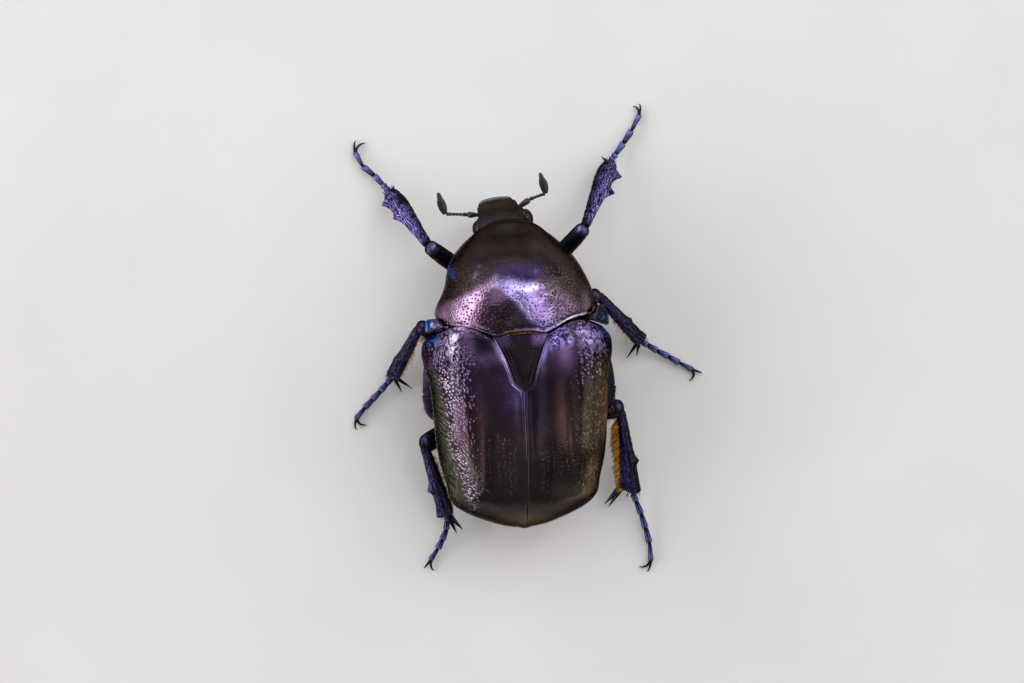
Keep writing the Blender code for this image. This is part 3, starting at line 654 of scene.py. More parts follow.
    # short rows of horseshoes on the rear disc, and two rows behind each shoulder
    places = []
    lanes = ((0.82, 8.9, 12.6), (1.24, 8.6, 12.9), (1.64, 8.1, 12.4), (2.10, 8.0, 12.2), (2.80, 8.3, 11.6))
    if not left:
        lanes = ((1.20, 9.4, 12.6), (1.56, 9.0, 13.0), (2.00, 8.0, 12.6), (2.60, 7.9, 11.8), (3.05, 8.6, 11.0))
    lanes = lanes + ((4.50, 1.6, 4.6), (5.30, 1.9, 4.2), (4.95, 2.4, 4.0))
    for x0, s0, s1 in lanes:
        for sk in np.arange(s0, s1, 0.265):
            sk2 = sk + rng.uniform(-0.08, 0.08)
            xk = x0 + rng.uniform(-0.06, 0.06) + 0.10 * math.sin((sk - s0) * 0.8)
            if rng.uniform() < (0.22 if s0 > 7 else 0.1):
                continue
            i = int(np.clip(np.searchsorted(rows, sk2), 0, len(rows) - 1))
            j = int(np.argmin(np.abs(x[i] - xk)))
            places.append((i, j))
    r = np.where(np.array([rows[p[0]] for p in places]) > 7.0, rng.uniform(0.055, 0.080, len(places)), rng.uniform(0.075, 0.095, len(places)))
    stamp(pit, P, places, r, 0.036, rng, "shoe", dark=dark, turn=-0.9 if left else 0.9)
    h = h + pit

    # colour: violet, browner behind, bluish beside the scutellum and along the seam,
    # greenish brown on the sides, grey brown at the tip. The browns on the sides, behind and at the tip are painted
    # reflection, the bluish part is partly painted sheen, and the zones below add painted highlights, glints and shade
    big = noise(P, 2.2, 21)
    mid = noise(P, 0.8, 22)
    violet, plum, umber = (0.116, 0.064, 0.134), (0.128, 0.086, 0.090), (0.088, 0.070, 0.058)
    blue, lilac = (0.150, 0.118, 0.265) if left else (0.105, 0.080, 0.165), (0.25, 0.195, 0.36)
    flank_reflection_right, flank_reflection_left, tip_reflection, corner_glint = (0.095, 0.070, 0.046), (0.088, 0.092, 0.068), (0.155, 0.122, 0.090), (0.04, 0.15, 0.45)
    # browner behind: painted reflection of a brown surround laid over the violet
    rear = sm(4.8, 8.2, s + 0.6 * big + (0.4 * x if left else 0.9 * x) - 1.0)
    col = mixed((violet,), (plum, rear * 0.95), (umber, 0.85 * sm(8.0, 12.0, s + 0.5 * big) * (0.6 if left else 1.0)))
    # painted shade: the right disc is darkened where the lamps would brighten it
    if not left:
        col = col * (1 - (0.80 - 0.25 * sm(5.5, 8.5, s)) * sm(1.0, 2.0, x) * (1 - sm(11.5, 13.0, s)))[..., None]
    # bluish beside the seam: partly the shell's own blue, partly painted sheen
    near_seam = np.exp(-((x - 0.5) / (0.9 if left else 0.7)) ** 2) * sm(2.2, 4.2, s) * (1 - (sm(5.2, 7.4, s) if left else sm(7.0, 9.0, s)))
    col = mixed((col,), (blue, np.clip(near_seam * (0.85 + 0.35 * mid), 0, 1)))
    # the banded sides: a painted dark reflection under the marks on the left, a painted brown reflection on the right
    band2 = sm(-0.9, 0.3, x - inner) * (1 - sm(-0.3, 0.7, x - outer)) * sm(0.8, 2, s)
    low_band = (0.020, 0.013, 0.024) if left else (0.050, 0.038, 0.024)
    edge = profile(s, (0, 5.9), (3, 6.0), (4.8, 5.6), (6.3, 5.0), (7.8, 4.5), (9.8, 4.25), (14, 4.1)) + 0.25 * mid
    col = mixed((col,), (low_band, np.clip(band2 * (1.0 if left else sm(-1.1, 0.3, x - edge)) * (0.8 + 0.3 * mid) * (1 - sm(12.8, 14, s)), 0, 1)))
    fy = P[..., 1] - front_line(x) * np.clip(1 - s / 4.0, 0, 1) ** 2 * 0 - front_line(x)
    # round the shoulders front marks bright lilac fields, a painted highlight over the violet; soft is a painted soft
    # sheen inside the shoulder, and a patch inside the left shoulder is darkened as painted shade
    if left:
        front = sm(4.25, 4.9, x + 0.2 * mid) * (1 - 0.55 * sm(5.3, 6.0, x + 0.3 * mid)) * (1 - sm(6.4, 7.2, x)) * (1 - sm(2.0, 3.6, s + 0.4 * big))
        front = np.maximum(front, 0.75 * (1 - sm(0.32, 0.62, fy + 0.15 * mid)) * sm(2.0, 2.6, x))
        front = np.maximum(front, 0.70 * bell(d, 0.30, 0.26) * sm(0.5, 1.1, s) * (1 - sm(2.6, 3.6, s)))
        soft = bell(x, 4.15, 0.50) * bell(s, 1.9, 0.95)
        col = col * (1 - 0.82 * sm(1.7, 2.3, x) * (1 - sm(3.4, 4.1, x)) * (1 - sm(1.3, 2.3, s)))[..., None]
    else:
        front = sm(1.9, 2.6, x) * (1 - sm(3.6, 4.3, x)) * (1 - sm(1.1, 2.1, s + 0.4 * big))
        front = np.maximum(front, sm(4.1, 4.7, x) * (1 - sm(6.0, 6.6, x)) * (1 - sm(1.5, 2.5, s + 0.4 * big)))
        front = np.maximum(front, 0.5 * bell(d, 0.22, 0.18) * sm(0.5, 1.1, s) * (1 - sm(2.6, 3.6, s)))
        soft = bell(x, 3.35, 0.60) * bell(s, 2.4, 0.9)
    front = front * (0.40 + 0.60 * sm(-0.35, 0.45, noise(P, (0.6, 0.9, 0.6), 24) + 0.5 * mid))
    col = mixed((col,), ((0.28, 0.14, 0.36) if left else (0.13, 0.07, 0.17), np.clip(soft * 0.8, 0, 1)))
    ground = mixed((lilac,), ((0.50, 0.42, 0.62), sm(4.4, 4.9, x) * (1 - sm(5.2, 5.8, x)) * (0.8 if left else 0.0)), ((0.38, 0.27, 0.62), np.clip(sm(4.0, 4.8, x) * (0.0 if left else 0.85), 0, 1)), ((0.34, 0.28, 0.78), np.clip((1 - sm(3.4, 4.0, x)) * (0.1 if left else 0.8), 0, 1)))
    col = mixed((col,), (ground, np.clip(front * 0.95, 0, 1)))
    # the sides: painted reflection of a greenish brown surround, dimmed towards the rear as painted shade and brighter
    # at the right front
    flank = (sm(-0.3, 0.7, x - outer) if left else sm(-0.9, 0.9, x - outer)) * sm(1.8, 3.4, s)
    col = mixed((col,), (flank_reflection_left if left else flank_reflection_right, np.clip(flank, 0, 1)))
    col = col * (1 - (0.30 if left else 0.66) * flank * sm(8.2, 10.2, s))[..., None] * (1.0 if left else (1 + 0.35 * flank * (1 - sm(7.5, 9.5, s)))[..., None])
    # towards the tip: painted dark and grey brown reflection
    col = mixed((col,), ((0.066, 0.057, 0.048), 0.92 * sm(12.7, 14.0, s + 0.25 * mid)), (tip_reflection, 0.85 * sm(14.1, 15.2, s + 0.25 * mid) * (1 - 0.8 * sm(1.2, 3.4, x))))
    # painted blue glint at the shoulder corner
    corner = bell(x, 6.9, 0.55) * bell(P[..., 1], 0.45, 0.55)
    col = mixed((col,), (corner_glint, np.clip(corner * 1.2, 0, 1)))
    # painted golden reflection on the outer bead
    edge_reflection = bell(e, 0.05, 0.05) * sm(1.5, 3, s)
    col = mixed((col,), ((0.20, 0.15, 0.075), 0.7 * edge_reflection))
    # painted highlights along the seam ridge and the front bead
    seamline = np.exp(-((d - 0.06) / 0.040) ** 2) * sm(4.6, 5.2, s)
    col = mixed((col,), ((0.22, 0.19, 0.29), np.clip(0.45 * seamline * (1 - 0.7 * sm(8.0, 12, s)), 0, 1)))
    col = mixed((col,), ((0.17, 0.15, 0.24), 0.8 * bell(d, 0.06, 0.04) * (1 - sm(4.0, 4.8, s))), ((0.10, 0.085, 0.13), 0.7 * bell(P[..., 1] - front_line(x) * np.clip(1 - s / 4.0, 0, 1) ** 2, 0.13, 0.07)))
    # painted glints on the marks over the dark ground, and painted shade in the marks where the ground is bright
    lit = np.clip(front, 0, 1)
    glint = np.clip(dark, 0, 1) * (0.4 + 0.6 * sm(-0.4, 0.4, noise(P, 1.0, 26)))
    rows_in = np.clip(sm(7.2, 7.8, s) * (1 - sm(3.3, 3.8, x)), 0, 1)
    near_sh = 0.0 if left else 1 - sm(4.4, 5.6, s)
    glow = mixed(((0.48, 0.39, 0.55) if left else (0.26, 0.21, 0.18),), ((0.86, 0.78, 0.90), sm(8.0, 10.0, s) * band2 * (1.0 if left else 0.0)), ((0.44, 0.22, 0.56), (1 - sm(-0.1, 0.7, x - inner)) * (1 - sm(8.0, 10.0, s)) * (0.85 if left else 0.0)),
                 ((0.42, 0.33, 0.60), near_sh + 0 * s), ((0.34, 0.28, 0.36), rows_in))
    amount = glint * (1 - lit) * ((0.80 + 0.15 * sm(7, 10, s)) * np.clip(band2, 0, 1) * (1.0 if left else 0.5 + 0.5 * near_sh) + 0.14 + 0.34 * rows_in * (0.5 + 0.5 * sm(-0.3, 0.4, noise(P, 0.35, 27))))
    col = mixed((col,), ((0.175, 0.070, 0.078) if left else (0.135, 0.066, 0.052), np.clip((0.60 if left else 0.50) * bell(x, 3.1 if left else 2.9, 0.85) * bell(s, 7.2, 2.3) * (1 - band2), 0, 1)))
    # painted shade and painted highlights: the disc, the band and the inner shoulder are darkened or brightened place
    # by place to match how the light falls on them; streak lays painted glint streaks on the rear of the left band
    if left:
        col = col * (1 - 0.64 * sm(2.3, 2.8, x) * (1 - sm(4.55, 5.0, x)) * sm(0.5, 0.95, s) * (1 - sm(1.9, 2.7, s)))[..., None]
        col = col * (1 - 0.40 * sm(1.2, 1.8, x) * (1 - sm(2.3, 2.8, x)) * sm(0.5, 0.95, s) * (1 - sm(3.0, 3.9, s)))[..., None]
        col = col * (1 - 0.50 * sm(4.2, 4.7, x) * (1 - sm(5.9, 6.5, x)) * sm(1.8, 2.4, s) * (1 - sm(4.8, 6.4, s)))[..., None]
        col = col * (1 - 0.30 * sm(3.6, 4.0, x) * (1 - sm(4.3, 4.7, x)) * sm(4.5, 5.5, s) * (1 - sm(10.5, 11.6, s)))[..., None]
        col = col * (1 - 0.38 * sm(2.2, 2.7, x) * (1 - sm(3.7, 4.1, x)) * sm(7.2, 8.6, s) * (1 - sm(12.0, 13.0, s)))[..., None]
        col = col * (1 + 0.26 * (1 - sm(2.6, 3.6, x)) * sm(7.6, 8.6, s) * (1 - sm(11.8, 12.8, s)))[..., None] * (1 - 0.20 * bell(x, 3.0, 1.0) * bell(s, 13.3, 0.7))[..., None]
        streak = sm(-0.5, 0.7, noise(P, (0.13, 0.34, 0.13), 85) + 0.35 * noise(P, 0.10, 86))
        col = col * (1 + (2.1 * streak - 0.15) * sm(4.9, 5.7, x) * (1 - 0.4 * sm(6.0, 6.6, x)) * sm(9.0, 10.6, s) * (1 - sm(13.0, 14.2, s)))[..., None]
    else:
        col = col * (1 - 0.68 * sm(2.9, 4.2, s) * (1 - sm(9.3, 10.2, s)) * (1 - 0.85 * sm(2.0, 2.9, x)) * (1 - sm(4.0, 4.6, x)))[..., None]
        col = col * (1 + 1.2 * sm(10.0, 11.0, s) * (1 - sm(12.8, 13.6, s)) * sm(1.6, 2.4, x))[..., None]
    # lay on the painted glints, then painted shade in the marks on the bright fields and in the grooves of the shoulder
    # network
    col = mixed((col,), (glow, np.clip(amount, 0, 1)))
    col = col * (1 - 0.80 * lit * dark)[..., None] * (1 - 0.88 * region * (1 - net))[..., None]
    # painted shade in the creases of the side wrinkles
    crease_shade = np.clip(1 - 1.6 * np.abs(np.sin(q * math.pi * 0.5)), 0, 1) * side
    # right side: painted sparkle over the flank and a painted brighter stripe near the outer edge
    if not left:
        flank_sparkle = sm(-0.1, 0.8, noise(P, 0.115, 83) + 0.20 * noise(P, 0.4, 84)) * (1 - 0.45 * sm(6.4, 7.1, x)) + 0.20 * sm(6.4, 7.1, x)
        col = col * (1 + (1.7 * flank_sparkle - 0.15) * sm(-1.1, 0.3, x - edge) * sm(2.5, 4.0, s) * (1 - sm(12.5, 13.5, s)))[..., None]
        col = col * (1 + 0.8 * sm(5.9, 6.6, x) * sm(4, 6, s) * (1 - sm(9.5, 11, s)))[..., None]
    # painted shade in the wrinkle creases and painted highlights on their crests
    col = col * (1 - 0.75 * crease_shade)[..., None] * (1 + 0.5 * side * np.abs(np.sin(q * math.pi * 0.5)))[..., None]
    glo = 0.205 + 0.02 * mid + ((0.07 + 0.08 * sm(9.0, 10.6, s)) if left else 0.15) * flank + 0.07 * sm(13.0, 14.4, s) + 0.05 * dark + 0.20 * np.clip(dark, 0, 1) * np.clip(rows_in + near_sh, 0, 1)
    S = P + N * h[..., None]
    # the seam's corner at the tip stands out a little
    S[..., 1] += 0.16 * np.exp(-(x / 0.42) ** 2) * sm(13.9, 15.4, s)
    S[..., 2] = np.minimum(S[..., 2], 10.889)

    inner_grid = wing_surface(stations(0.0, 15.5, 56, wing_weight), 40, 0.34)
    for grid in (S, inner_grid):
        grid[..., 0] *= sign
    V, groups = shell_part(S, inner_grid)
    k = S.shape[0] * S.shape[1]
    C = np.concatenate([col.reshape(-1, 3), np.full((len(V) - k, 3), 0.05)])
    G = np.concatenate([glo.ravel(), np.full(len(V) - k, 0.5)])
    ob = build(name + "_case", V, groups, WING_MAT, C, G)
    return put(ob, name)


WING_MAT = cuticle("wing_case_shell", rim=(0.17, 0.145, 0.13), metallic=1.0, coat=0.05, coat_rough=0.12, mottle=0.14, mottle_scale=1100,
                   pore=0.5, pore_scale=6500, grain=0.30, grain_scale=16000, bump_mm=0.009)
wing(1, "elytron_left")
wing(-1, "elytron_right")


# ------------------------------------------------------------ scutellum
def scutellum():
    rng = np.random.default_rng(5)
    s = np.linspace(0.50, 4.80, 150)
    q = np.linspace(-1, 1, 121)
    w = np.maximum(scut_half(s) - 0.025, 0.03)
    x = w[:, None] * q[None]
    y = np.broadcast_to(s[:, None], x.shape)
    top = elytra_top(s)[:, None] - 0.05 - 0.05 * q[None] ** 2 * np.minimum(1, w[:, None] / 1.0)
    P = np.stack([x, y, top], axis=-1)
    e = w[:, None] * (1 - np.abs(q))[None]
    h = -0.05 * np.exp(-(e / 0.05) ** 2) - 0.03 * bell(e, 0.16, 0.06) + 0.015 * bell(e, 0.30, 0.10)
    h = h - 0.05 * np.exp(-((y - 0.7) / 0.5) ** 2) * (1 - 0.5 * bell(x, 0.0, 0.7)) + 0.006 * noise(P, 0.7, 31)
    pit = np.zeros_like(h)
    dark = np.zeros_like(h)
    rate = 16 * (1 - sm(1.4, 2.4, y)) * sm(0.35, 0.9, np.abs(x)) * sm(0.12, 0.25, e) + 1.2 * sm(0.15, 0.3, e)
    picks = scatter(P, rate, 0.15, rng)
    stamp(pit, P, picks, rng.uniform(0.045, 0.07, len(picks)), 0.028, rng, dark=dark)
    S = P.copy()
    S[..., 2] += h + pit
    low = np.stack([x * 0.98, y, np.broadcast_to(top - 0.42, x.shape)], axis=-1)[::6, ::8]
    # dark plate; the violet at the front corners is a painted highlight, the light line along the edges a painted
    # highlight, and the marks get painted shade
    col = mixed(((0.013, 0.009, 0.013),), ((0.028, 0.021, 0.028), sm(1.6, 3.4, y)), ((0.15, 0.085, 0.24), 0.8 * (1 - sm(0.9, 1.7, y)) * sm(0.5, 1.2, np.abs(x)) * np.where(x < 0, 1.0, 0.35)),
                ((0.06, 0.054, 0.09), 0.6 * np.exp(-(e / 0.05) ** 2)))
    col = col * (0.85 + 0.2 * noise(P, 0.6, 33)[..., None]) * (1 - 0.4 * dark[..., None])
    V, groups = shell_part(S, low)
    k = S.shape[0] * S.shape[1]
    C = np.concatenate([col.reshape(-1, 3), np.full((len(V) - k, 3), 0.05)])
    ob = build("scutellum_plate", V, groups, WING_MAT, C, np.r_[(0.27 + 0.1 * dark).ravel(), np.full(len(V) - k, 0.5)])
    put(ob, "scutellum")


scutellum()


# ------------------------------------------------------------ prothorax
def hind_line(x):
    return profile(np.abs(x), (0, -0.42), (1.0, -0.48), (1.85, -0.64), (2.6, -0.30), (3.6, 0.17),
                   (4.45, 0.40), (5.5, 0.60), (6.0, 0.9), (6.3, 1.35))


def pro_frame(x, t, z):
    c, s = math.cos(PRO_YAW), math.sin(PRO_YAW)
    return np.stack([x * c + t * s, PRO_BASE + x * s - t * c, z], axis=-1)


def pro_sizes(v):
    t_side = 1.0 + 6.4 * v
    w = PRO_W * (1 - max(0.0, (t_side - 1.2) / 7.6) ** 2) ** 0.7 - 0.3 * (1 - min(1.0, v / 0.07)) ** 2
    top = float(profile(v, (0, 10.56), (0.06, 10.76), (0.22, 10.85), (0.42, 10.45), (0.62, 9.3), (0.82, 7.75), (1.0, 6.55)))
    edge = float(profile(v, (0, 5.9), (0.2, 5.55), (0.5, 5.2), (0.8, 5.15), (1.0, 5.3)))
    low = float(profile(v, (0, 2.9), (0.25, 2.45), (0.6, 2.7), (0.85, 3.6), (1.0, 4.25)))
    return 8.50 * v, t_side, 0.9 + 5.6 * v, w, top, edge, low


def pro_squeeze(x, v):
    return 1 - 0.095 * sm(2.0, 5.0, x) * bell(v, 0.42, 0.24)


def pronotum():
    rng = np.random.default_rng(71)
    R, C, R2, C2 = 218, 400, 84, 150
    vs = np.r_[np.linspace(0, 0.06, 22)[:-1], np.linspace(0.06, 1.0, R - 21)]
    U, Vv = np.zeros((R, C, 3)), np.zeros((R, C))
    Q = np.zeros((R, C))
    for i, v in enumerate(vs):
        t_mid, t_side, t_low, w, top, edge, low = pro_sizes(v)
        ux, uz = arc(w, min(top, 10.84), edge, 0.0, 600, 2.25)
        line = np.stack([np.r_[-ux[::-1], ux[1:]], np.r_[uz[::-1], uz[1:]]], axis=1)
        line = even(line, C)
        x, z = line[:, 0], line[:, 1]
        q = np.abs(x) / w
        t = t_mid + (t_side - t_mid) * q**2.6 + (hind_line(x) - q**2.6) * (1 - v) ** 4
        Q[i] = x
        U[i] = pro_frame(x * pro_squeeze(x, v), t, z)
        Vv[i] = v
    L = np.zeros((R2, C2, 3))
    for i, v in enumerate(np.linspace(0, 1, R2)):
        t_mid, t_side, t_low, w, top, edge, low = pro_sizes(v)
        lx, lz = arc(w - 0.12, -low, -(edge - 0.12), 0.0, 400, 2.0)
        line = even(np.stack([np.r_[-lx[::-1], lx[1:]], -np.r_[lz[::-1], lz[1:]]], axis=1), C2)
        q = np.abs(line[:, 0]) / w
        L[i] = pro_frame(line[:, 0] * pro_squeeze(line[:, 0], v), t_low + (t_side - t_low) * q**2, line[:, 1])
    N = normals(U)
    N *= np.sign(N[R // 2, C // 2, 2])
    x, v = Q, Vv
    seg = np.linalg.norm(np.diff(U, axis=1), axis=2)
    d = np.concatenate([np.zeros((R, 1)), np.cumsum(seg, axis=1)], axis=1)
    e = np.minimum(d, d[:, -1:] - d)
    seg = np.linalg.norm(np.diff(U, axis=0), axis=2)
    b = np.concatenate([np.zeros((1, C)), np.cumsum(seg, axis=0)], axis=0)      # from the hind margin
    f = b[-1:] - b                                                            # from the front margin
    y = U[..., 1]
    ax = np.abs(x)
    # form: rolled hind margin, beaded sides, a low crest between two shallow slopes
    h = -0.12 * np.exp(-(b / 0.07) ** 2) + 0.035 * bell(b, 0.20, 0.09) - 0.02 * bell(b, 0.42, 0.12)
    h = h + 0.055 * bell(e, 0.07, 0.075) - 0.060 * bell(e, 0.24, 0.09) * sm(0.02, 0.10, v)
    h = h + 0.03 * bell(f, 0.05, 0.07) - 0.03 * bell(f, 0.2, 0.1)
    crest = np.exp(-(x / 1.5) ** 2) * sm(0.22, 0.42, v) * (1 - sm(0.66, 0.9, v))
    h = h + 0.16 * crest - 0.10 * bell(ax, 2.9, 1.2) * bell(v, 0.30, 0.14)
    h = h - 0.10 * np.exp(-(x / 1.8) ** 2) * (1 - sm(0.10, 0.28, v)) * sm(0.0, 0.05, v)
    h = h - 0.08 * bell(ax, 4.0, 0.5) * bell(v, 0.40, 0.07) - 0.05 * bell(ax, 4.9, 0.7) * bell(v, 0.16, 0.08)
    h = h + 0.012 * noise(U, 1.5, 41) + 0.004 * noise(U, 0.45, 42)
    h = h + 0.046 * sm(0.5, 1.3, -x) * (1 - sm(3.2, 4.0, -x)) * (1 - sm(2.0, 3.0, PRO_BASE - y)) * (0.8 * noise(U, 0.60, 63) + 0.55 * np.abs(noise(U, 0.34, 64)))
    h = h + 0.010 * noise(U, 0.5, 65) * (1 - sm(3.6, 4.6, PRO_BASE - y))
    h = h + 0.03 * np.exp(-((x - 3.9 + 0.75 * (PRO_BASE - y - 3.3)) / 0.16) ** 2) * sm(3.1, 3.6, PRO_BASE - y) * (1 - sm(4.9, 5.2, PRO_BASE - y))
    h = h + 0.05 * bell(x, 2.6, 0.9) * bell(v, 0.27, 0.10) + 0.05 * bell(x, -0.9, 0.7) * bell(v, 0.33, 0.08)
    # punctures: coarse behind and to the sides, fine in front
    pit = np.zeros_like(h)
    dark = np.zeros_like(h)
    tt = PRO_BASE - y                                                          # mm forward of the base
    n1 = 0.5 + 0.5 * noise(U, 0.7, 44)
    rear = (1 - sm(3.1, 4.6, tt - 0.25 * ax)) * sm(0.20, 0.45, b)
    wl = 1.75 + 2.35 * (1 - np.clip(tt / 3.35, 0, 1)) ** 0.8
    wr = 1.45 - 2.65 * (1 - np.clip(tt / 3.35, 0, 1))
    in_wedge = sm(-0.2, 0.2, wl - x) * sm(-0.2, 0.3, x - wr) * (1 - sm(2.9, 3.45, tt))
    calm = 0.98 * np.exp(-((x - 0.05) / 0.85) ** 2) * (1 - sm(1.9, 2.9, tt)) + 0.35 * np.exp(-((x - 1.6) / 0.5) ** 2) * sm(2.0, 2.8, tt)
    fold = sm(0.2, 0.8, -x) * (1 - sm(2.0, 2.8, -x))
    rate = (10.5 + 5.0 * in_wedge) * (1 - 0.45 * fold) * rear * np.clip(1 - calm, 0, 1) * (0.55 + 0.75 * n1) * sm(0.25, 0.5, e)
    picks = scatter(U, rate, 0.205, rng)
    axp = ax[picks[:, 0], picks[:, 1]]
    wp = in_wedge[picks[:, 0], picks[:, 1]]
    r = (rng.uniform(0.062, 0.074, len(picks)) + 0.014 * sm(1.2, 2.6, axp)) * (1 - 0.20 * wp)
    stamp(pit, U, picks, r, r * (0.52 - 0.30 * wp), rng, dark=dark)
    sides = sm(3.6, 4.8, ax) * sm(0.2, 0.4, e) * (1 - rear) * (1 - sm(0.75, 0.95, v))
    picks = scatter(U, 10 * sides, 0.17, rng)
    stamp(pit, U, picks, rng.uniform(0.045, 0.065, len(picks)), 0.030, rng, dark=dark, shade=0.8)
    front = (1 - rear) * (1 - sides) * sm(0.25, 0.5, f)
    picks = scatter(U, 6.5 * front, 0.20, rng)
    stamp(pit, U, picks, rng.uniform(0.040, 0.052, len(picks)), 0.016, rng, dark=dark, shade=0.35)
    h = h + pit
    S = U + N * h[..., None]
    S[..., 2] = np.minimum(S[..., 2], 10.889)

    # colour: brown black in front as painted dark reflection, violet and rose behind with painted highlight lobes,
    # painted blue glints at the bend and corners
    big, mid = noise(U, 1.9, 51), noise(U, 0.6, 52)
    black, rose, lavender = (0.038, 0.030, 0.030), (0.60, 0.375, 0.62), (0.62, 0.50, 1.0)
    indigo, wedge_shade = (0.062, 0.040, 0.115), (0.118, 0.068, 0.106)
    # zone is the bright rear field; its lobes are partly the shell's rose and lavender, partly painted highlight
    edge_line = np.where(x > 1.5, 3.84 - 0.42 * (x - 1.5), np.where(x > -0.4, 3.42 + 0.22 * (x + 0.4), np.where(x > -1.7, 3.42 + 0.02 * (x + 0.4), 3.39 - 0.55 * (-x - 1.7))))
    zone = 1 - sm(-0.55, 0.45, tt - edge_line + 0.22 * big + 0.10 * mid)
    col = mixed((black,), ((0.046, 0.032, 0.026), 0.5 + 0.5 * big), ((0.056, 0.028, 0.125), 0.85 * bell(tt, 4.15, 0.62) * bell(x, -0.5, 1.8)),
                ((0.034, 0.018, 0.026), 0.6 * bell(tt, 5.0, 1.2) * bell(ax, 2.6, 1.2)))
    lobe = mixed((lavender,), ((0.50, 0.33, 0.76), 0.9 * sm(0.7, 1.6, -x + 0.3 * (2.2 - tt) + 0.2 * mid)), (rose, np.clip(sm(1.1, 1.9, x + 0.15 * mid), 0, 1)),
                 ((0.135, 0.080, 0.120), 0.92 * sm(2.1, 3.1, -x + 0.55 * sm(0.5, 2.6, tt) + 0.3 * big)), ((0.50, 0.34, 0.62), 0.75 * bell(x, -2.6, 0.85) * bell(tt, 0.85, 0.60)))
    # streaks of brighter and dimmer sheen across the lobes
    sheen = 0.50 + 0.50 * sm(-0.45, 0.5, noise(U, (1.0, 0.7, 1.0), 57) + 0.5 * noise(U, 0.35, 58) + 0.25)
    sheen = sheen * (1 - 0.15 * sm(4.2, 5.4, ax)) * (0.55 + 0.45 * sm(0.1, 1.2, b))
    lobe = lobe * sheen[..., None]
    # painted shade and painted highlight: a darker and a lighter spot on the lobes, the right front lighter and the
    # very front darker
    lobe = lobe * (1 - 0.50 * bell(x, 1.22, 0.36) * bell(tt, 3.35, 0.42))[..., None] * (1 + 0.30 * bell(x, 0.2, 0.55) * bell(tt, 2.75, 0.45))[..., None]
    col = col * (1 + 0.55 * sm(0.8, 2.0, -x) * (1 - sm(4.2, 5.2, -x)))[..., None] * (1 - 0.42 * sm(6.0, 7.2, tt))[..., None]
    col = mixed((col,), (lobe, zone * 0.97))
    # the smooth wedge over the scutellum, painted dark as a dark reflection, lighter along its edges
    wl = 1.75 + 2.35 * (1 - np.clip(tt / 3.35, 0, 1)) ** 0.8
    wr = 1.45 - 2.65 * (1 - np.clip(tt / 3.35, 0, 1))
    wedge = sm(-0.28, 0.22, wl - x + 0.10 * mid) * sm(-0.22, 0.35, x - wr + 0.12 * mid) * (1 - sm(2.9, 3.45, tt + 0.15 * mid))
    col = mixed((col,), (wedge_shade, 0.96 * wedge), ((0.080, 0.054, 0.058), 0.85 * wedge * bell(x, 0.9, 1.3) * (1 - sm(0.9, 2.4, tt))),
                ((0.24, 0.14, 0.40), 0.50 * wedge * (1 - 0.75 * sm(1.3, 2.5, tt)) * np.exp(-np.clip(x - wr, 0, None) / 0.38)), ((0.36, 0.18, 0.34), 0.70 * wedge * (1 - 0.80 * sm(1.2, 2.4, tt)) * np.exp(-np.clip(wl - x, 0, None) / 0.60) * sm(0.3, 0.9, tt)))
    # the painted highlight falls off to a duller violet at the outer hind corners, and a painted grey reflection sits
    # at the right corner
    col = mixed((col,), ((0.24, 0.15, 0.22), 0.5 * sm(4.8, 5.9, ax) * zone), ((0.30, 0.26, 0.30), 0.55 * bell(x, -5.45, 0.42) * bell(tt, 1.75, 0.95)))
    # painted blue glints on the left side and right of the middle
    blue = bell(x, 5.05, 0.24) * bell(tt, 4.65, 0.55) * (0.35 + 0.65 * np.sin((tt + 0.9 * x) / 0.13 * math.pi) ** 2) + bell(x + 0.25 * (tt - 4.3), -1.55, 0.17) * bell(tt, 4.3, 0.30) * 0.55
    col = mixed((col,), ((0.05, 0.13, 0.42), np.clip(blue, 0, 1)))
    # painted blue glint on the side beads, a painted pale highlight on the rolled hind margin, and painted shade in the
    # gap at the hind edge
    rim = bell(e, 0.06, 0.08)
    col = mixed((col,), ((0.07, 0.08, 0.20), 0.75 * rim), ((0.24, 0.20, 0.24), 0.8 * bell(b, 0.17, 0.06) * (0.15 + 0.85 * sm(2.2, 3.0, ax))), ((0.015, 0.012, 0.014), 0.95 * (1 - sm(0.03, 0.10, b))))
    # painted pale highlight along a small oblique ridge
    pale = np.exp(-((x - 3.9 + 0.75 * (tt - 3.3)) / 0.20) ** 2) * sm(3.1, 3.6, tt) * (1 - sm(4.9, 5.2, tt)) * sm(-0.5, 0.4, noise(U, 0.35, 62))
    col = mixed((col,), ((0.14, 0.11, 0.15), 0.8 * pale))
    # painted bright highlight on the right part of the hind margin
    rim_highlight = bell(b, 0.20, 0.12) * sm(2.2, 3.0, -x) * (1 - sm(5.2, 5.8, -x))
    col = mixed((col,), ((0.80, 0.74, 0.86), 0.95 * rim_highlight))
    # painted shade along the front edge
    col = col * (0.93 + 0.10 * mid[..., None]) * (1 - 0.6 * bell(f, 0.0, 0.30))[..., None]
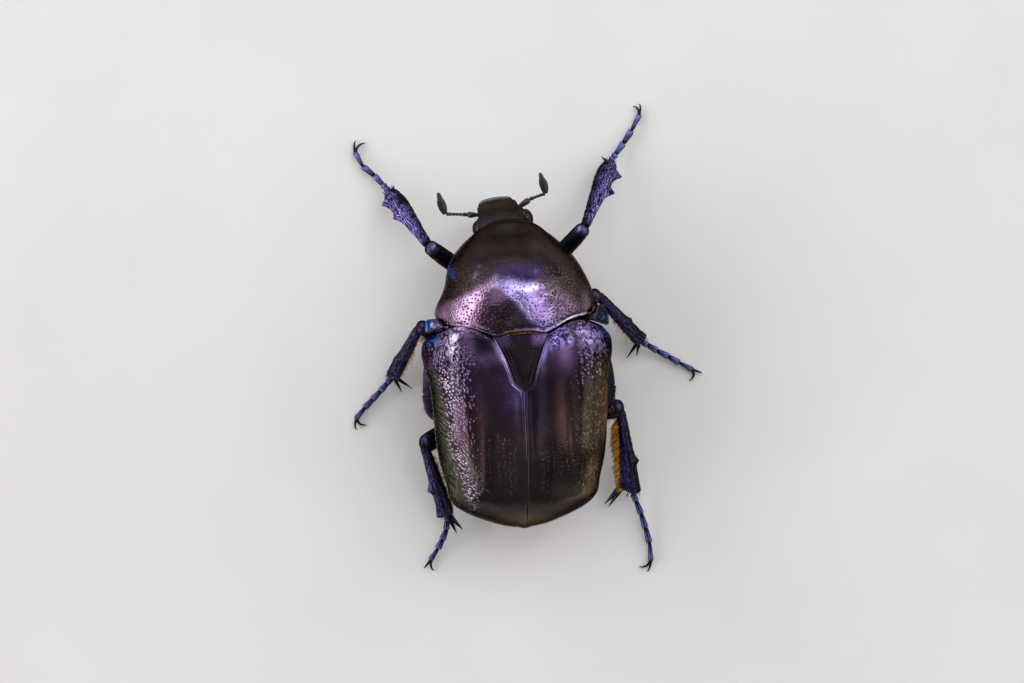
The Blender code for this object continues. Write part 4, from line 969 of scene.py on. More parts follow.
    # painted shade in the pits on the bright fields, painted glints in the pits elsewhere, and a painted mottled sheen
    # over the bright fields
    bright_zone = zone[..., None] * (1 - 0.85 * wedge[..., None])
    pit_glint = dark**2 * wedge * sm(0.4, 1.2, x) * (0.6 + 0.4 * sm(-0.3, 0.5, noise(U, 0.9, 59)))
    col = col * (1 - 0.96 * bright_zone * dark[..., None]) * (1 + 0.5 * (1 - bright_zone) * dark[..., None])
    col = mixed((col,), ((0.46, 0.31, 0.46), np.clip(0.75 * pit_glint, 0, 1)))
    ring = np.clip(noise(U, 0.5, 60), 0, 1) * (1 - dark)
    col = col * (1 + 0.35 * bright_zone[..., 0] * ring)[..., None]
    glo = 0.215 + 0.02 * mid + 0.05 * (1 - zone) + 0.12 * dark
    lo_dark = 0.045 + 0.02 * noise(L, 0.8, 55)[..., None] * np.ones(3)
    NL = normals(L)
    NL *= -np.sign(NL[R2 // 2, C2 // 2, 2])
    lrng = np.random.default_rng(72)
    lp = np.zeros((R2, C2))
    stamp(lp, L, scatter(L, np.full((R2, C2), 6.0), 0.22, lrng), 0.08, 0.03, lrng, "shoe")
    L = L + NL * (lp + 0.01 * noise(L, 0.4, 56))[..., None]
    V, groups = shell_part(S, L)
    col2 = np.concatenate([col.reshape(-1, 3), np.clip(lo_dark * np.array((1.0, 0.85, 1.25)), 0, 1).reshape(-1, 3)])
    ob = build("pronotum_shell", V, groups, PRO_MAT, col2, np.r_[glo.ravel(), np.full(len(V) - R * C, 0.42)])
    put(ob, "prothorax")
    return S, N, b, x, tt


PRO_MAT = cuticle("pronotum_shell", metallic=1.0, coat=0.05, coat_rough=0.10, mottle=0.12, mottle_scale=1300,
                  pore=0.45, pore_scale=6800, grain=0.30, grain_scale=17000, bump_mm=0.008)
PRO = pronotum()


# ------------------------------------------------------------ shoulder plates
def shoulder_plate(side, sign):
    rng = np.random.default_rng(90 + sign)
    xs = np.linspace(5.42, 7.28, 66)
    R, C = len(xs), 60
    P = np.zeros((R, C, 3))
    for i, x in enumerate(xs):
        y0 = PRO_BASE - float(hind_line(x)) + 0.06 + sign * x * math.sin(PRO_YAW)
        if x > 6.5:
            y0 = max(y0, -1.5 + 1.1 * ((x - 6.55) / 0.75) ** 2)
        y1 = float(front_line(x)) - 0.05
        z1 = 5.3 + 4.4 * (1 - (x / 7.45) ** 2.6) ** (1 / 2.2)
        k = np.linspace(0, 1, C)
        close = 1 - 0.35 * np.clip((x - 7.0) / 0.28, 0, 1) ** 2
        P[i] = np.stack([np.full(C, x), y0 + (y1 - y0) * (0.5 + (k - 0.5) * close), z1 + 0.10 * np.sin(k * math.pi) - 0.10], axis=1)
    x, y = P[..., 0], P[..., 1]
    k = np.broadcast_to(np.linspace(0, 1, C)[None], x.shape)
    e = np.minimum.reduce([k * (y[:, -1:] - y[:, :1]), (1 - k) * (y[:, -1:] - y[:, :1]), np.broadcast_to((7.28 - xs)[:, None], x.shape)])
    h = -0.10 * np.exp(-(e / 0.07) ** 2) + 0.05 * bell(e, 0.15, 0.06) - 0.05 * bell(e, 0.28, 0.08)
    cx = 6.35
    ring = np.sqrt(((x - cx) / 0.42) ** 2 + ((y + 0.55) / 0.34) ** 2)
    h = h + 0.07 * bell(ring, 1.0, 0.22) - 0.04 * bell(ring, 0.0, 0.6) + 0.01 * noise(P, 0.5, 61)
    pit = np.zeros_like(h)
    dark = np.zeros_like(h)
    picks = scatter(P, 24 * sm(0.10, 0.25, e) * (1 - sm(6.7, 7.1, x)), 0.13, rng)
    stamp(pit, P, picks, rng.uniform(0.05, 0.075, len(picks)), 0.035, rng, "shoe", dark=dark)
    N = normals(P)
    N *= np.sign(N[R // 2, C // 2, 2])
    S = P + N * (h + pit)[..., None]
    S[..., 0] *= sign
    lowg = P[::5, ::6].copy()
    lowg[..., 2] -= 0.75
    lowg[..., 0] *= sign * 0.985
    # the blue strip and the blue ring are painted glints, the pale line along the edge a painted highlight, and the
    # marks get painted shade
    vio, blue, dk = (0.17, 0.11, 0.24) if sign > 0 else (0.042, 0.037, 0.048), (0.03, 0.12, 0.36), (0.030, 0.030, 0.042)
    col = mixed((vio,), (dk, sm(0.55, 0.95, k) * 0.8), (blue, sm(6.55, 6.95, x) * (0.95 if sign > 0 else 0.35) * (1 - sm(0.6, 0.9, k))),
                ((0.05, 0.14, 0.36), 0.5 * bell(ring, 1.0, 0.18) * (0.2 if sign > 0 else 0.8)), ((0.20, 0.22, 0.25), 0.8 * bell(e, 0.09, 0.045)))
    col = col * (0.85 + 0.25 * noise(P, 0.3, 64)[..., None]) * (1 - 0.5 * dark[..., None])
    V, groups = shell_part(S, lowg)
    n = R * C
    ob = build("shoulder_scale_" + side, V, groups, WING_MAT, np.concatenate([col.reshape(-1, 3), np.full((len(V) - n, 3), 0.05)]),
               np.r_[(0.28 + 0.1 * dark).ravel(), np.full(len(V) - n, 0.5)])
    put(ob, "shoulder_plate_" + side)


shoulder_plate("left", 1)
shoulder_plate("right", -1)


# ------------------------------------------------------------ head
HA = np.array([math.sin(HEAD_YAW) * math.cos(HEAD_PITCH), -math.cos(HEAD_YAW) * math.cos(HEAD_PITCH), -math.sin(HEAD_PITCH)])
HL = np.array([math.cos(HEAD_YAW), math.sin(HEAD_YAW), 0.0])
HN = np.cross(HA, HL)


def head_at(a, x, n):
    a, x, n = np.broadcast_arrays(np.asarray(a, float), x, n)
    return HEAD_AT + HA * a[..., None] + HL * x[..., None] + HN * n[..., None]


def head():
    rng = np.random.default_rng(131)
    R, CU, CD = 190, 190, 120
    A = np.r_[np.linspace(0.25, 3.85, R - 50), 3.85 + 0.46 * np.sin(np.linspace(0, math.pi / 2, 51))[1:]]
    C = CU + CD
    X, Nn, Aa = np.zeros((R, C)), np.zeros((R, C)), np.zeros((R, C))
    upper = np.zeros((R, C))
    for i, a in enumerate(A):
        w = float(profile(a, (0.3, 1.75), (1.1, 1.95), (1.75, 1.90), (2.15, 1.80), (2.6, 1.69), (3.2, 1.60), (3.8, 1.50), (4.1, 1.36), (4.31, 1.05)))
        up = float(profile(a, (0.3, 0.80), (1.2, 0.90), (2.2, 0.70), (3.2, 0.50), (3.9, 0.44), (4.31, 0.40)))
        dn = float(profile(a, (0.3, 1.05), (1.2, 1.28), (2.2, 1.12), (3.2, 0.62), (3.9, 0.25), (4.31, 0.02)))
        end = math.sqrt(max(0.0, 1 - max(0.0, (a - 4.12) / 0.195) ** 2))
        up, dn = up * (0.55 + 0.45 * end), dn * (0.4 + 0.6 * end)
        ux, uz = arc(w, up, 0.0, 0.0, 300, 3.2)
        lx, lz = arc(w - 0.02, dn, 0.02, 0.0, 300, 2.6)
        top = even(np.stack([np.r_[ux[::-1], -ux[1:]], np.r_[uz[::-1], uz[1:]]], axis=1), CU + 1)[:-1]
        bot = even(np.stack([np.r_[-lx[::-1], lx[1:]], -np.r_[lz[::-1], lz[1:]]], axis=1), CD + 1)[:-1]
        X[i], Nn[i], Aa[i] = np.r_[top[:, 0], bot[:, 0]], np.r_[top[:, 1], bot[:, 1]], a
        upper[i, :CU] = 1
    # the front edge is nipped in a little in the middle
    Aa2 = Aa - (0.10 + 0.08 * np.exp(-((X + 0.2) / 0.8) ** 2) + 0.27 * sm(-0.2, 1.5, -X)) * sm(3.0, 4.25, Aa)
    P = head_at(Aa2, X, Nn)
    N = normals(P, wrap=True)
    if (N[R // 2, CU // 2] @ HN) < 0:
        N = -N
    ax = np.abs(X)
    rise = sm(-0.05, 0.15, Nn)
    h = rise * (0.115 * bell(Aa, 4.20, 0.10) - 0.055 * bell(Aa, 3.90, 0.17))
    side = np.where(Aa > 2.3, 1.0, 0.0) * sm(2.3, 2.9, Aa)
    h = h + rise * side * (0.035 * bell(ax, 1.48, 0.09) - 0.025 * bell(ax, 1.25, 0.16)) * (1 - sm(4.1, 4.3, Aa))
    h = h + rise * 0.05 * np.exp(-(X / 0.35) ** 2) * sm(1.2, 2.0, Aa) * (1 - sm(3.2, 3.9, Aa))
    h = h - rise * 0.05 * bell(ax, 0.8, 0.35) * bell(Aa, 2.3, 0.6)
    h = h + rise * 0.12 * bell(ax, 1.78, 0.20) * bell(Aa, 1.98, 0.22)          # ridge that runs onto the eye
    h = h + rise * 0.05 * bell(ax, 1.62, 0.13) * bell(Aa, 1.2, 0.6)
    h = h - (1 - rise) * 0.05 * bell(ax, 0.55, 0.10) * sm(0.6, 1.4, Aa) * (1 - sm(3.2, 3.9, Aa))
    h = h + 0.008 * noise(P, 0.8, 101) + 0.005 * noise(P, 0.22, 102)
    pit = np.zeros_like(h)
    dark = np.zeros_like(h)
    rate = (24 * sm(-0.1, 0.1, Nn) + 6) * (1 - sm(4.05, 4.15, Aa)) * sm(0.3, 0.5, Aa)
    picks = scatter(P, rate, 0.125, rng, wrap=True)
    r = rng.uniform(0.042, 0.062, len(picks))
    stamp(pit, P, picks, r, 0.026, rng, wrap=True, dark=dark)
    S = P + N * (h + pit)[..., None]
    big, mid = noise(P, 1.3, 103), noise(P, 0.4, 104)
    # brown black head; the light brown patch at the right front is a painted highlight, the pale line on the front rim
    # a painted highlight, and the pits get painted shade
    col = mixed(((0.030, 0.025, 0.021),), ((0.044, 0.036, 0.029), 0.5 + 0.5 * big), ((0.030, 0.024, 0.052), 0.55 * bell(X, 1.1, 0.6) * (1 - sm(1.4, 2.0, Aa)) * rise),
                ((0.055, 0.046, 0.037), 0.6 * rise * bell(Aa, 3.45, 0.35) * bell(X, -0.55, 0.5)), ((0.150, 0.192, 0.220), 0.95 * sm(0.05, 0.20, Nn) * bell(Aa, 4.13, 0.036) * (1 - 0.6 * sm(0.7, 1.3, -X))), ((0.040, 0.040, 0.046), 0.6 * (1 - rise)),
                ((0.060, 0.060, 0.070), 0.3 * rise * side * bell(ax, 1.50, 0.07)))
    col = col * (1 + 0.18 * mid[..., None]) * (1 - 0.25 * dark[..., None])
    glo = 0.36 + 0.04 * mid - 0.06 * bell(Aa, 4.2, 0.1) * rise
    V, groups = tube_part(S)
    ob = build("head_capsule", V, groups, HEAD_MAT, np.r_[col.reshape(-1, 3), np.full((2, 3), 0.05)], np.r_[glo.ravel(), 0.4, 0.4])
    put(ob, "head")


HEAD_MAT = cuticle("head_cuticle", metallic=0.95, coat=0.05, coat_rough=0.18, mottle=0.20, mottle_scale=1800,
                   pore=0.6, pore_scale=8500, grain=0.5, grain_scale=18000, bump_mm=0.009)
head()


def eye(side, sign):
    R, C = 70, 96
    th = np.linspace(0.04, math.pi - 0.04, R)
    ph = 2 * math.pi * np.arange(C) / C
    ct, st = np.cos(th)[:, None], np.sin(th)[:, None]
    q = np.stack([0.78 * st * np.cos(ph), 0.55 * st * np.sin(ph), 0.72 * ct * np.ones(C)], axis=-1)
    P = head_at(1.25, sign * 1.88, 0.02) + q[..., 0:1] * HA + q[..., 1:2] * HL + q[..., 2:3] * HN
    # facets: small domes on a close lattice
    u, v = P @ HA / 0.085, (P @ HN) / 0.0736
    row = np.round(v)
    u2 = u - 0.5 * (row % 2)
    r2 = ((u2 - np.round(u2)) * 0.085) ** 2 + ((v - row) * 0.0736) ** 2
    n = unit(P - head_at(1.25, sign * 1.88, 0.02))
    S = P + n * (0.010 * np.clip(1 - r2 / 0.0018, 0, 1))[..., None] - n * 0.006
    col = np.array((0.030, 0.023, 0.022)) * (1 + 0.4 * noise(P, 0.4, 110)[..., None]) + np.array((0.030, 0.008, 0.002)) * sm(0.0, 1.0, -sign * (n @ HL))[..., None]
    V, groups = tube_part(S)
    ob = build("eye_dome_" + side, V, groups, EYE_MAT, np.r_[col.reshape(-1, 3), np.full((2, 3), 0.02)], 0.13)
    put(ob, "eye_" + side)


EYE_MAT = cuticle("eye_lens", rim=(0.09, 0.08, 0.085), metallic=0.85, coat=0.10, coat_rough=0.04, mottle=0.35, mottle_scale=2600, grain=0.15,
                  grain_scale=22000, bump_mm=0.004, rough_var=0.03, spec=0.6)
eye("left", 1)
eye("right", -1)

FEELERS = {
    "left": (head_at(3.60, 1.88, -0.35), (3.25, -9.13, 3.48), (4.90, -9.25, 3.42), (5.44, -11.02, 3.32)),
    "right": (head_at(3.30, -1.88, -0.35), (-1.80, -10.12, 3.48), (-3.00, -10.50, 3.42), (-2.70, -12.22, 3.32)),
}


def solid(points, wide, thick, side, n, m, square=2.0, ends=(0.0, 0.0), rect=FULL, relief=None, tint=(0.05, 0.05, 0.06), satin=0.35):
    """A limb part with a relief function of (P, u, f) in mm; returns V, groups, tint, satin."""
    P, u, f, fr = limb(points, wide, thick, side, n, m, square, ends)
    if relief is not None:
        N = normals(P, wrap=True)
        c = P.mean(1, keepdims=True)
        N *= np.sign(((P - c) * N).sum(2).mean())
        out = relief(P, u[:, None] * np.ones(m), np.broadcast_to(f, P.shape[:2]))
        h = out[0] if isinstance(out, tuple) else out
        edge = np.minimum(sm(0, 0.03, u), 1 - sm(0.97, 1.0, u))[:, None]
        P = P + N * (h * edge)[..., None]
        if isinstance(out, tuple):
            tint = out[1]
            satin = out[2] if len(out) > 2 else satin
    V, groups = tube_part(P, rect)
    k = P.shape[0] * P.shape[1]
    if np.ndim(tint) == 3:
        tint = np.r_[np.asarray(tint).reshape(-1, 3), np.asarray(tint)[[0, -1]].mean(1)]
    if np.ndim(satin) == 2:
        satin = np.r_[np.asarray(satin).ravel(), 0.4, 0.4]
    return V, groups, tint, satin


def thorn(base, tip, r, bend=(0, 0, 0), tip_r=0.015, n=16, m=10, rect=FULL, tint=(0.03, 0.03, 0.035), satin=0.3):
    base, tip = np.array(base, float), np.array(tip, float)
    mid = (base + tip) / 2 + np.array(bend, float)
    d = unit(tip - base)
    side = np.cross(d, (0.13, 0.21, 1.0))
    w = [(0, r), (0.3, r * 0.85), (0.7, r * 0.45), (1, tip_r)]
    return solid([base, mid, tip], w, w, side, n, m, ends=(0, 0.02), rect=rect, tint=tint, satin=satin)


def feeler(side, pts):
    a0, a1, a2, a3 = (np.array(p, float) for p in pts)
    rng = np.random.default_rng(140 + len(side))
    grey, brown = np.array((0.030, 0.034, 0.032)), np.array((0.052, 0.027, 0.016))

    def rough(P, u, f):
        return 0.008 * noise(P, 0.12, 120) + 0.006 * noise(P, 0.35, 121), \
            grey * (1 + 0.25 * noise(P, 0.3, 122))[..., None] + 0.01, 0.36 + 0.05 * noise(P, 0.2, 123)

    parts = []
    rects = cells(9)
    d01, d12 = unit(a1 - a0), unit(a2 - a1)
    root = a0 - d01 * 0.50
    parts.append(solid([root, a0 + d01 * 0.25, (a0 + a1) / 2, a1 - d01 * 0.02],
                       [(0, 0.15), (0.25, 0.20), (0.60, 0.295), (0.85, 0.30), (1, 0.20)],
                       [(0, 0.13), (0.25, 0.17), (0.60, 0.235), (0.85, 0.24), (1, 0.18)], (0, 0, 1), 60, 40,
                       ends=(0.05, 0.10), rect=rects[0], relief=rough))
    cuts = np.array([-0.04, 0.19, 0.36, 0.52, 0.67, 0.82, 0.97])
    length = np.linalg.norm(a2 - a1)
    for i in range(6):
        p, q = a1 + d12 * length * cuts[i], a1 + d12 * length * (cuts[i + 1] + 0.012)
        r = (0.150, 0.118, 0.112, 0.115, 0.122, 0.140)[i]
        bow = np.array((0, 0, 0.02))

        def brownish(P, u, f, i=i):
            t = grey * (1 - 0.65) + brown * 0.65 if i not in (0, 5) else grey
            return 0.005 * noise(P, 0.1, 125 + i), t * (1 + 0.3 * noise(P, 0.2, 130 + i))[..., None], 0.38 + 0.0 * u

        parts.append(solid([p, (p + q) / 2 + bow, q], [(0, r * 0.72), (0.35, r * 0.95), (0.8, r * 1.1), (1, r)],
                           [(0, r * 0.72), (0.35, r * 0.95), (0.8, r * 1.1), (1, r)], (0, 0, 1), 26, 24,
                           ends=(0.12, 0.12), rect=rects[1 + i % 6], relief=brownish))
    ob = build("feeler_stalk_" + side, *join(parts)[:2], FEELER_MAT, *join(parts)[2:])
    put(ob, "antenna_stalk_" + side)
    # the club: three leaves folded against each other
    d = unit(a3 - a2)
    flat = unit(np.cross(d, (0, 0, 1)))
    up = np.cross(flat, d)
    tilt = unit(flat * 0.80 + up * 0.60)
    over = np.cross(tilt, d)
    leaves = []
    rects = cells(3)
    start = a2 + d12 * 0.08 - d * 0.04
    for i, off in enumerate((-1, 0, 1)):
        c = off * 0.152
        tip = a3 - d * (0.02 if off == 0 else 0.05)
        mid = (start + tip) / 2 + d12 * 0.02 + tilt * c * 1.25
        pts2 = [start + tilt * c * 0.5, start + (mid - start) * 0.5 + tilt * c * 0.5, mid, mid + (tip - mid) * 0.55 - tilt * c * 0.25, tip + tilt * c * 0.30]

        def leaf(P, u, f, off=off):
            t = np.array((0.026, 0.030, 0.025)) * (1 + 0.22 * noise(P, 0.35, 150 + off))[..., None]
            return 0.006 * noise(P, 0.09, 153) + 0.004 * noise(P, 0.3, 155), t, 0.40 + 0.04 * noise(P, 0.15, 156)

        leaves.append(solid(pts2, [(0, 0.070), (0.15, 0.088), (0.5, 0.092), (0.85, 0.075), (1, 0.035)],
                            [(0, 0.12), (0.15, 0.22), (0.45, 0.285), (0.8, 0.255), (1, 0.16)], tilt, 64, 36, square=2.2,
                            ends=(0.05, 0.10), rect=rects[i], relief=leaf))
    V, g, c, s = join(leaves)
    ob = build("feeler_club_" + side, V, g, FEELER_MAT, c, s)
    put(ob, "antenna_club_" + side)


FEELER_MAT = cuticle("feeler_cuticle", metallic=0.25, coat=0.25, coat_rough=0.25, mottle=0.20, mottle_scale=2500, pore=0.4,
                     pore_scale=11000, grain=0.5, grain_scale=20000, bump_mm=0.007)
for side_name, pts in FEELERS.items():
    feeler(side_name, pts)


# ------------------------------------------------------------ legs
LEGS = {
    "front_left": dict(hip=(1.35, -3.65, 2.60), mid=(4.0, -5.0, 3.00), knee=(6.40, -6.72, 4.50), heel=(9.20, -11.41, 1.05),
                       foot=((9.67, -11.97, 0.62), (10.42, -12.85, 0.50), (11.22, -13.57, 0.42), (11.76, -14.71, 0.20)),
                       claws=((10.81, -15.37, 0.07), (11.55, -15.62, 0.07)),
                       teeth=((9.75, -10.22, 1.35, 0.75), (8.93, -9.03, 2.25, 0.52), (9.68, -11.39, 0.95, 0.93)),
                       spurs=((8.74, -11.83, 0.85),)),
    "front_right": dict(hip=(-1.35, -3.85, 2.60), mid=(-3.7, -5.5, 3.00), knee=(-5.86, -7.58, 4.50), heel=(-8.58, -12.91, 1.05),
                        foot=((-9.14, -13.59, 0.62), (-9.77, -14.38, 0.50), (-10.51, -15.39, 0.42), (-11.27, -16.69, 0.20)),
                        claws=((-11.25, -17.55, 0.07), (-10.75, -17.35, 0.07)),
                        teeth=((-9.32, -11.53, 1.35, 0.75), (-8.58, -10.16, 2.25, 0.52), (-9.27, -12.96, 0.95, 0.93)),
                        spurs=((-7.88, -13.42, 0.85),)),
    "middle_left": dict(hip=(2.0, 1.6, 1.60), mid=(5.0, 0.70, 1.90), knee=(7.42, -0.50, 3.95), heel=(9.75, 3.45, 1.15),
                        foot=((10.29, 4.07, 0.72), (10.91, 4.71, 0.55), (11.62, 5.36, 0.42), (12.76, 6.61, 0.20)),
                        claws=((11.86, 7.11, 0.07), (12.65, 7.45, 0.07)),
                        teeth=((9.55, 1.95, 2.10, 0.62), (10.05, 3.25, 1.15, 0.95)),
                        spurs=((8.08, 4.42, 0.65), (8.95, 4.65, 0.65))),
    "middle_right": dict(hip=(-2.0, 1.4, 1.60), mid=(-4.8, -0.5, 2.00), knee=(-6.62, -2.42, 4.05), heel=(-10.35, 1.55, 1.15),
                         foot=((-11.49, 2.26, 0.66), (-12.56, 2.88, 0.52), (-13.52, 3.49, 0.42), (-14.58, 4.07, 0.20)),
                         claws=((-14.17, 4.94, 0.07), (-15.28, 4.30, 0.07)),
                         teeth=((-9.45, -0.35, 2.25, 0.62), (-10.95, 1.25, 1.15, 0.95)),
                         spurs=((-9.11, 2.90, 0.65), (-9.95, 2.75, 0.65))),
    "hind_left": dict(hip=(2.0, 5.9, 1.45), mid=(5.2, 7.7, 1.75), knee=(7.62, 8.75, 4.55), heel=(5.92, 14.50, 1.60),
                      foot=((5.90, 15.28, 1.15), (6.25, 16.36, 0.75), (6.72, 17.23, 0.48), (7.36, 18.16, 0.20)),
                      claws=((7.05, 19.0, 0.07), (7.95, 18.75, 0.07)),
                      teeth=((7.45, 12.45, 2.70, 0.62), (6.75, 14.75, 1.45, 0.97)),
                      spurs=((4.65, 15.85, 0.95), (5.15, 16.15, 0.75))),
    "hind_right": dict(hip=(-2.0, 5.6, 1.45), mid=(-5.4, 6.8, 1.70), knee=(-8.02, 6.70, 4.25), heel=(-9.04, 13.65, 1.30),
                       foot=((-9.63, 15.20, 0.80), (-9.97, 16.40, 0.55), (-10.28, 17.71, 0.42), (-10.36, 19.29, 0.20)),
                       claws=((-9.37, 19.61, 0.07), (-9.95, 20.05, 0.07)),
                       teeth=((-9.50, 11.00, 2.55, 0.62), (-9.75, 14.05, 1.15, 0.97)),
                       spurs=((-6.72, 14.48, 0.75), (-7.05, 14.72, 0.60))),
}
THIGH = {"front": (0.68, 0.55), "middle": (0.66, 0.52), "hind": (0.82, 0.56)}
SHIN = {"front": (0.74, 0.36), "middle": (0.56, 0.40), "hind": (0.62, 0.42)}
INK, NIGHT = np.array((0.015, 0.013, 0.018)), np.array((0.016, 0.015, 0.032))
IRIS, AZURE = np.array((0.108, 0.086, 0.235)), np.array((0.034, 0.055, 0.160))


def femur(name, leg, pair):
    rng = np.random.default_rng(200 + sum(map(ord, name)))
    hip, mid, knee = (np.array(leg[k], float) for k in ("hip", "mid", "knee"))
    a, b = THIGH[pair]
    end = knee + unit(knee - mid) * 0.30
    wide = [(0, a * 0.80), (0.25, a), (0.6, a), (0.88, a * 0.93), (1, a * 0.86)]
    thick = [(0, b * 1.0), (0.25, b), (0.6, b), (0.88, b * 1.0), (1, b * 0.92)]
    n, m = 150, 72

    def relief(P, u, f):
        up = P[..., 2] - P.mean(1, keepdims=True)[..., 2]
        length = np.linalg.norm(end - hip)
        q = u * length / 0.105 + 0.9 * noise(P, 0.5, 201) + 0.5 * np.cos(f * 2)
        if pair == "front":
            rib = (0.22 + 0.78 * sm(0.38, 0.60, u)) * (0.30 + 0.70 * sm(-0.35, 0.05, up))
        else:
            rib = 0.16 + 0.26 * sm(-0.3, 0.4, noise(P, 0.45, 208))
        lines = -0.028 * rib * np.clip(np.sin(q * math.pi), 0, 1) ** 2 * (1 - sm(0.84, 0.93, u))
        h = lines + 0.010 * noise(P, 0.5, 202) + 0.008 * (1 - rib) * noise(P, 0.16, 209)
        h = h - 0.05 * bell(u, 0.90, 0.02) * 0.4 + 0.03 * bell(u, 0.955, 0.03)
        pit, dark = np.zeros_like(h), np.zeros_like(h)
        picks = scatter(P, 22 * sm(0.84, 0.90, u) + (5 if pair == "front" else 15) * (1 - sm(0.8, 0.9, u)), 0.12, rng, wrap=True)
        stamp(pit, P, picks, rng.uniform(0.045, 0.070, len(picks)), 0.028, rng, "shoe", wrap=True, dark=dark)
        wrinkle = rib * np.clip(np.sin(q * math.pi), 0, 1) ** 2 * (1 - sm(0.84, 0.93, u))
        # painted highlight: the knee's violet shows on its top side only; the marks get painted shade
        knee_top_highlight = sm(0.87, 0.93, u) * (1 - sm(0.985, 1.0, u)) * sm(0.05, 0.4, up)
        col = mixed((INK,), (NIGHT, 0.5 + 0.5 * noise(P, 0.8, 205)), ((0.17, 0.13, 0.28), np.clip(knee_top_highlight * (0.75 + 0.4 * noise(P, 0.25, 206)), 0, 1)), ((0.055, 0.050, 0.065), 0.55 * wrinkle))
        return h + pit, col * (1 - 0.75 * dark[..., None]), 0.33 + 0.05 * noise(P, 0.3, 207)

    V, g, c, s = solid([hip, mid, end], wide, thick, (0, 1, 0), n, m, square=2.15, ends=(0.05, 0.105), relief=relief)
    put(build("thigh_" + name, V, g, LEG_MAT, c, s), "femur_" + name)


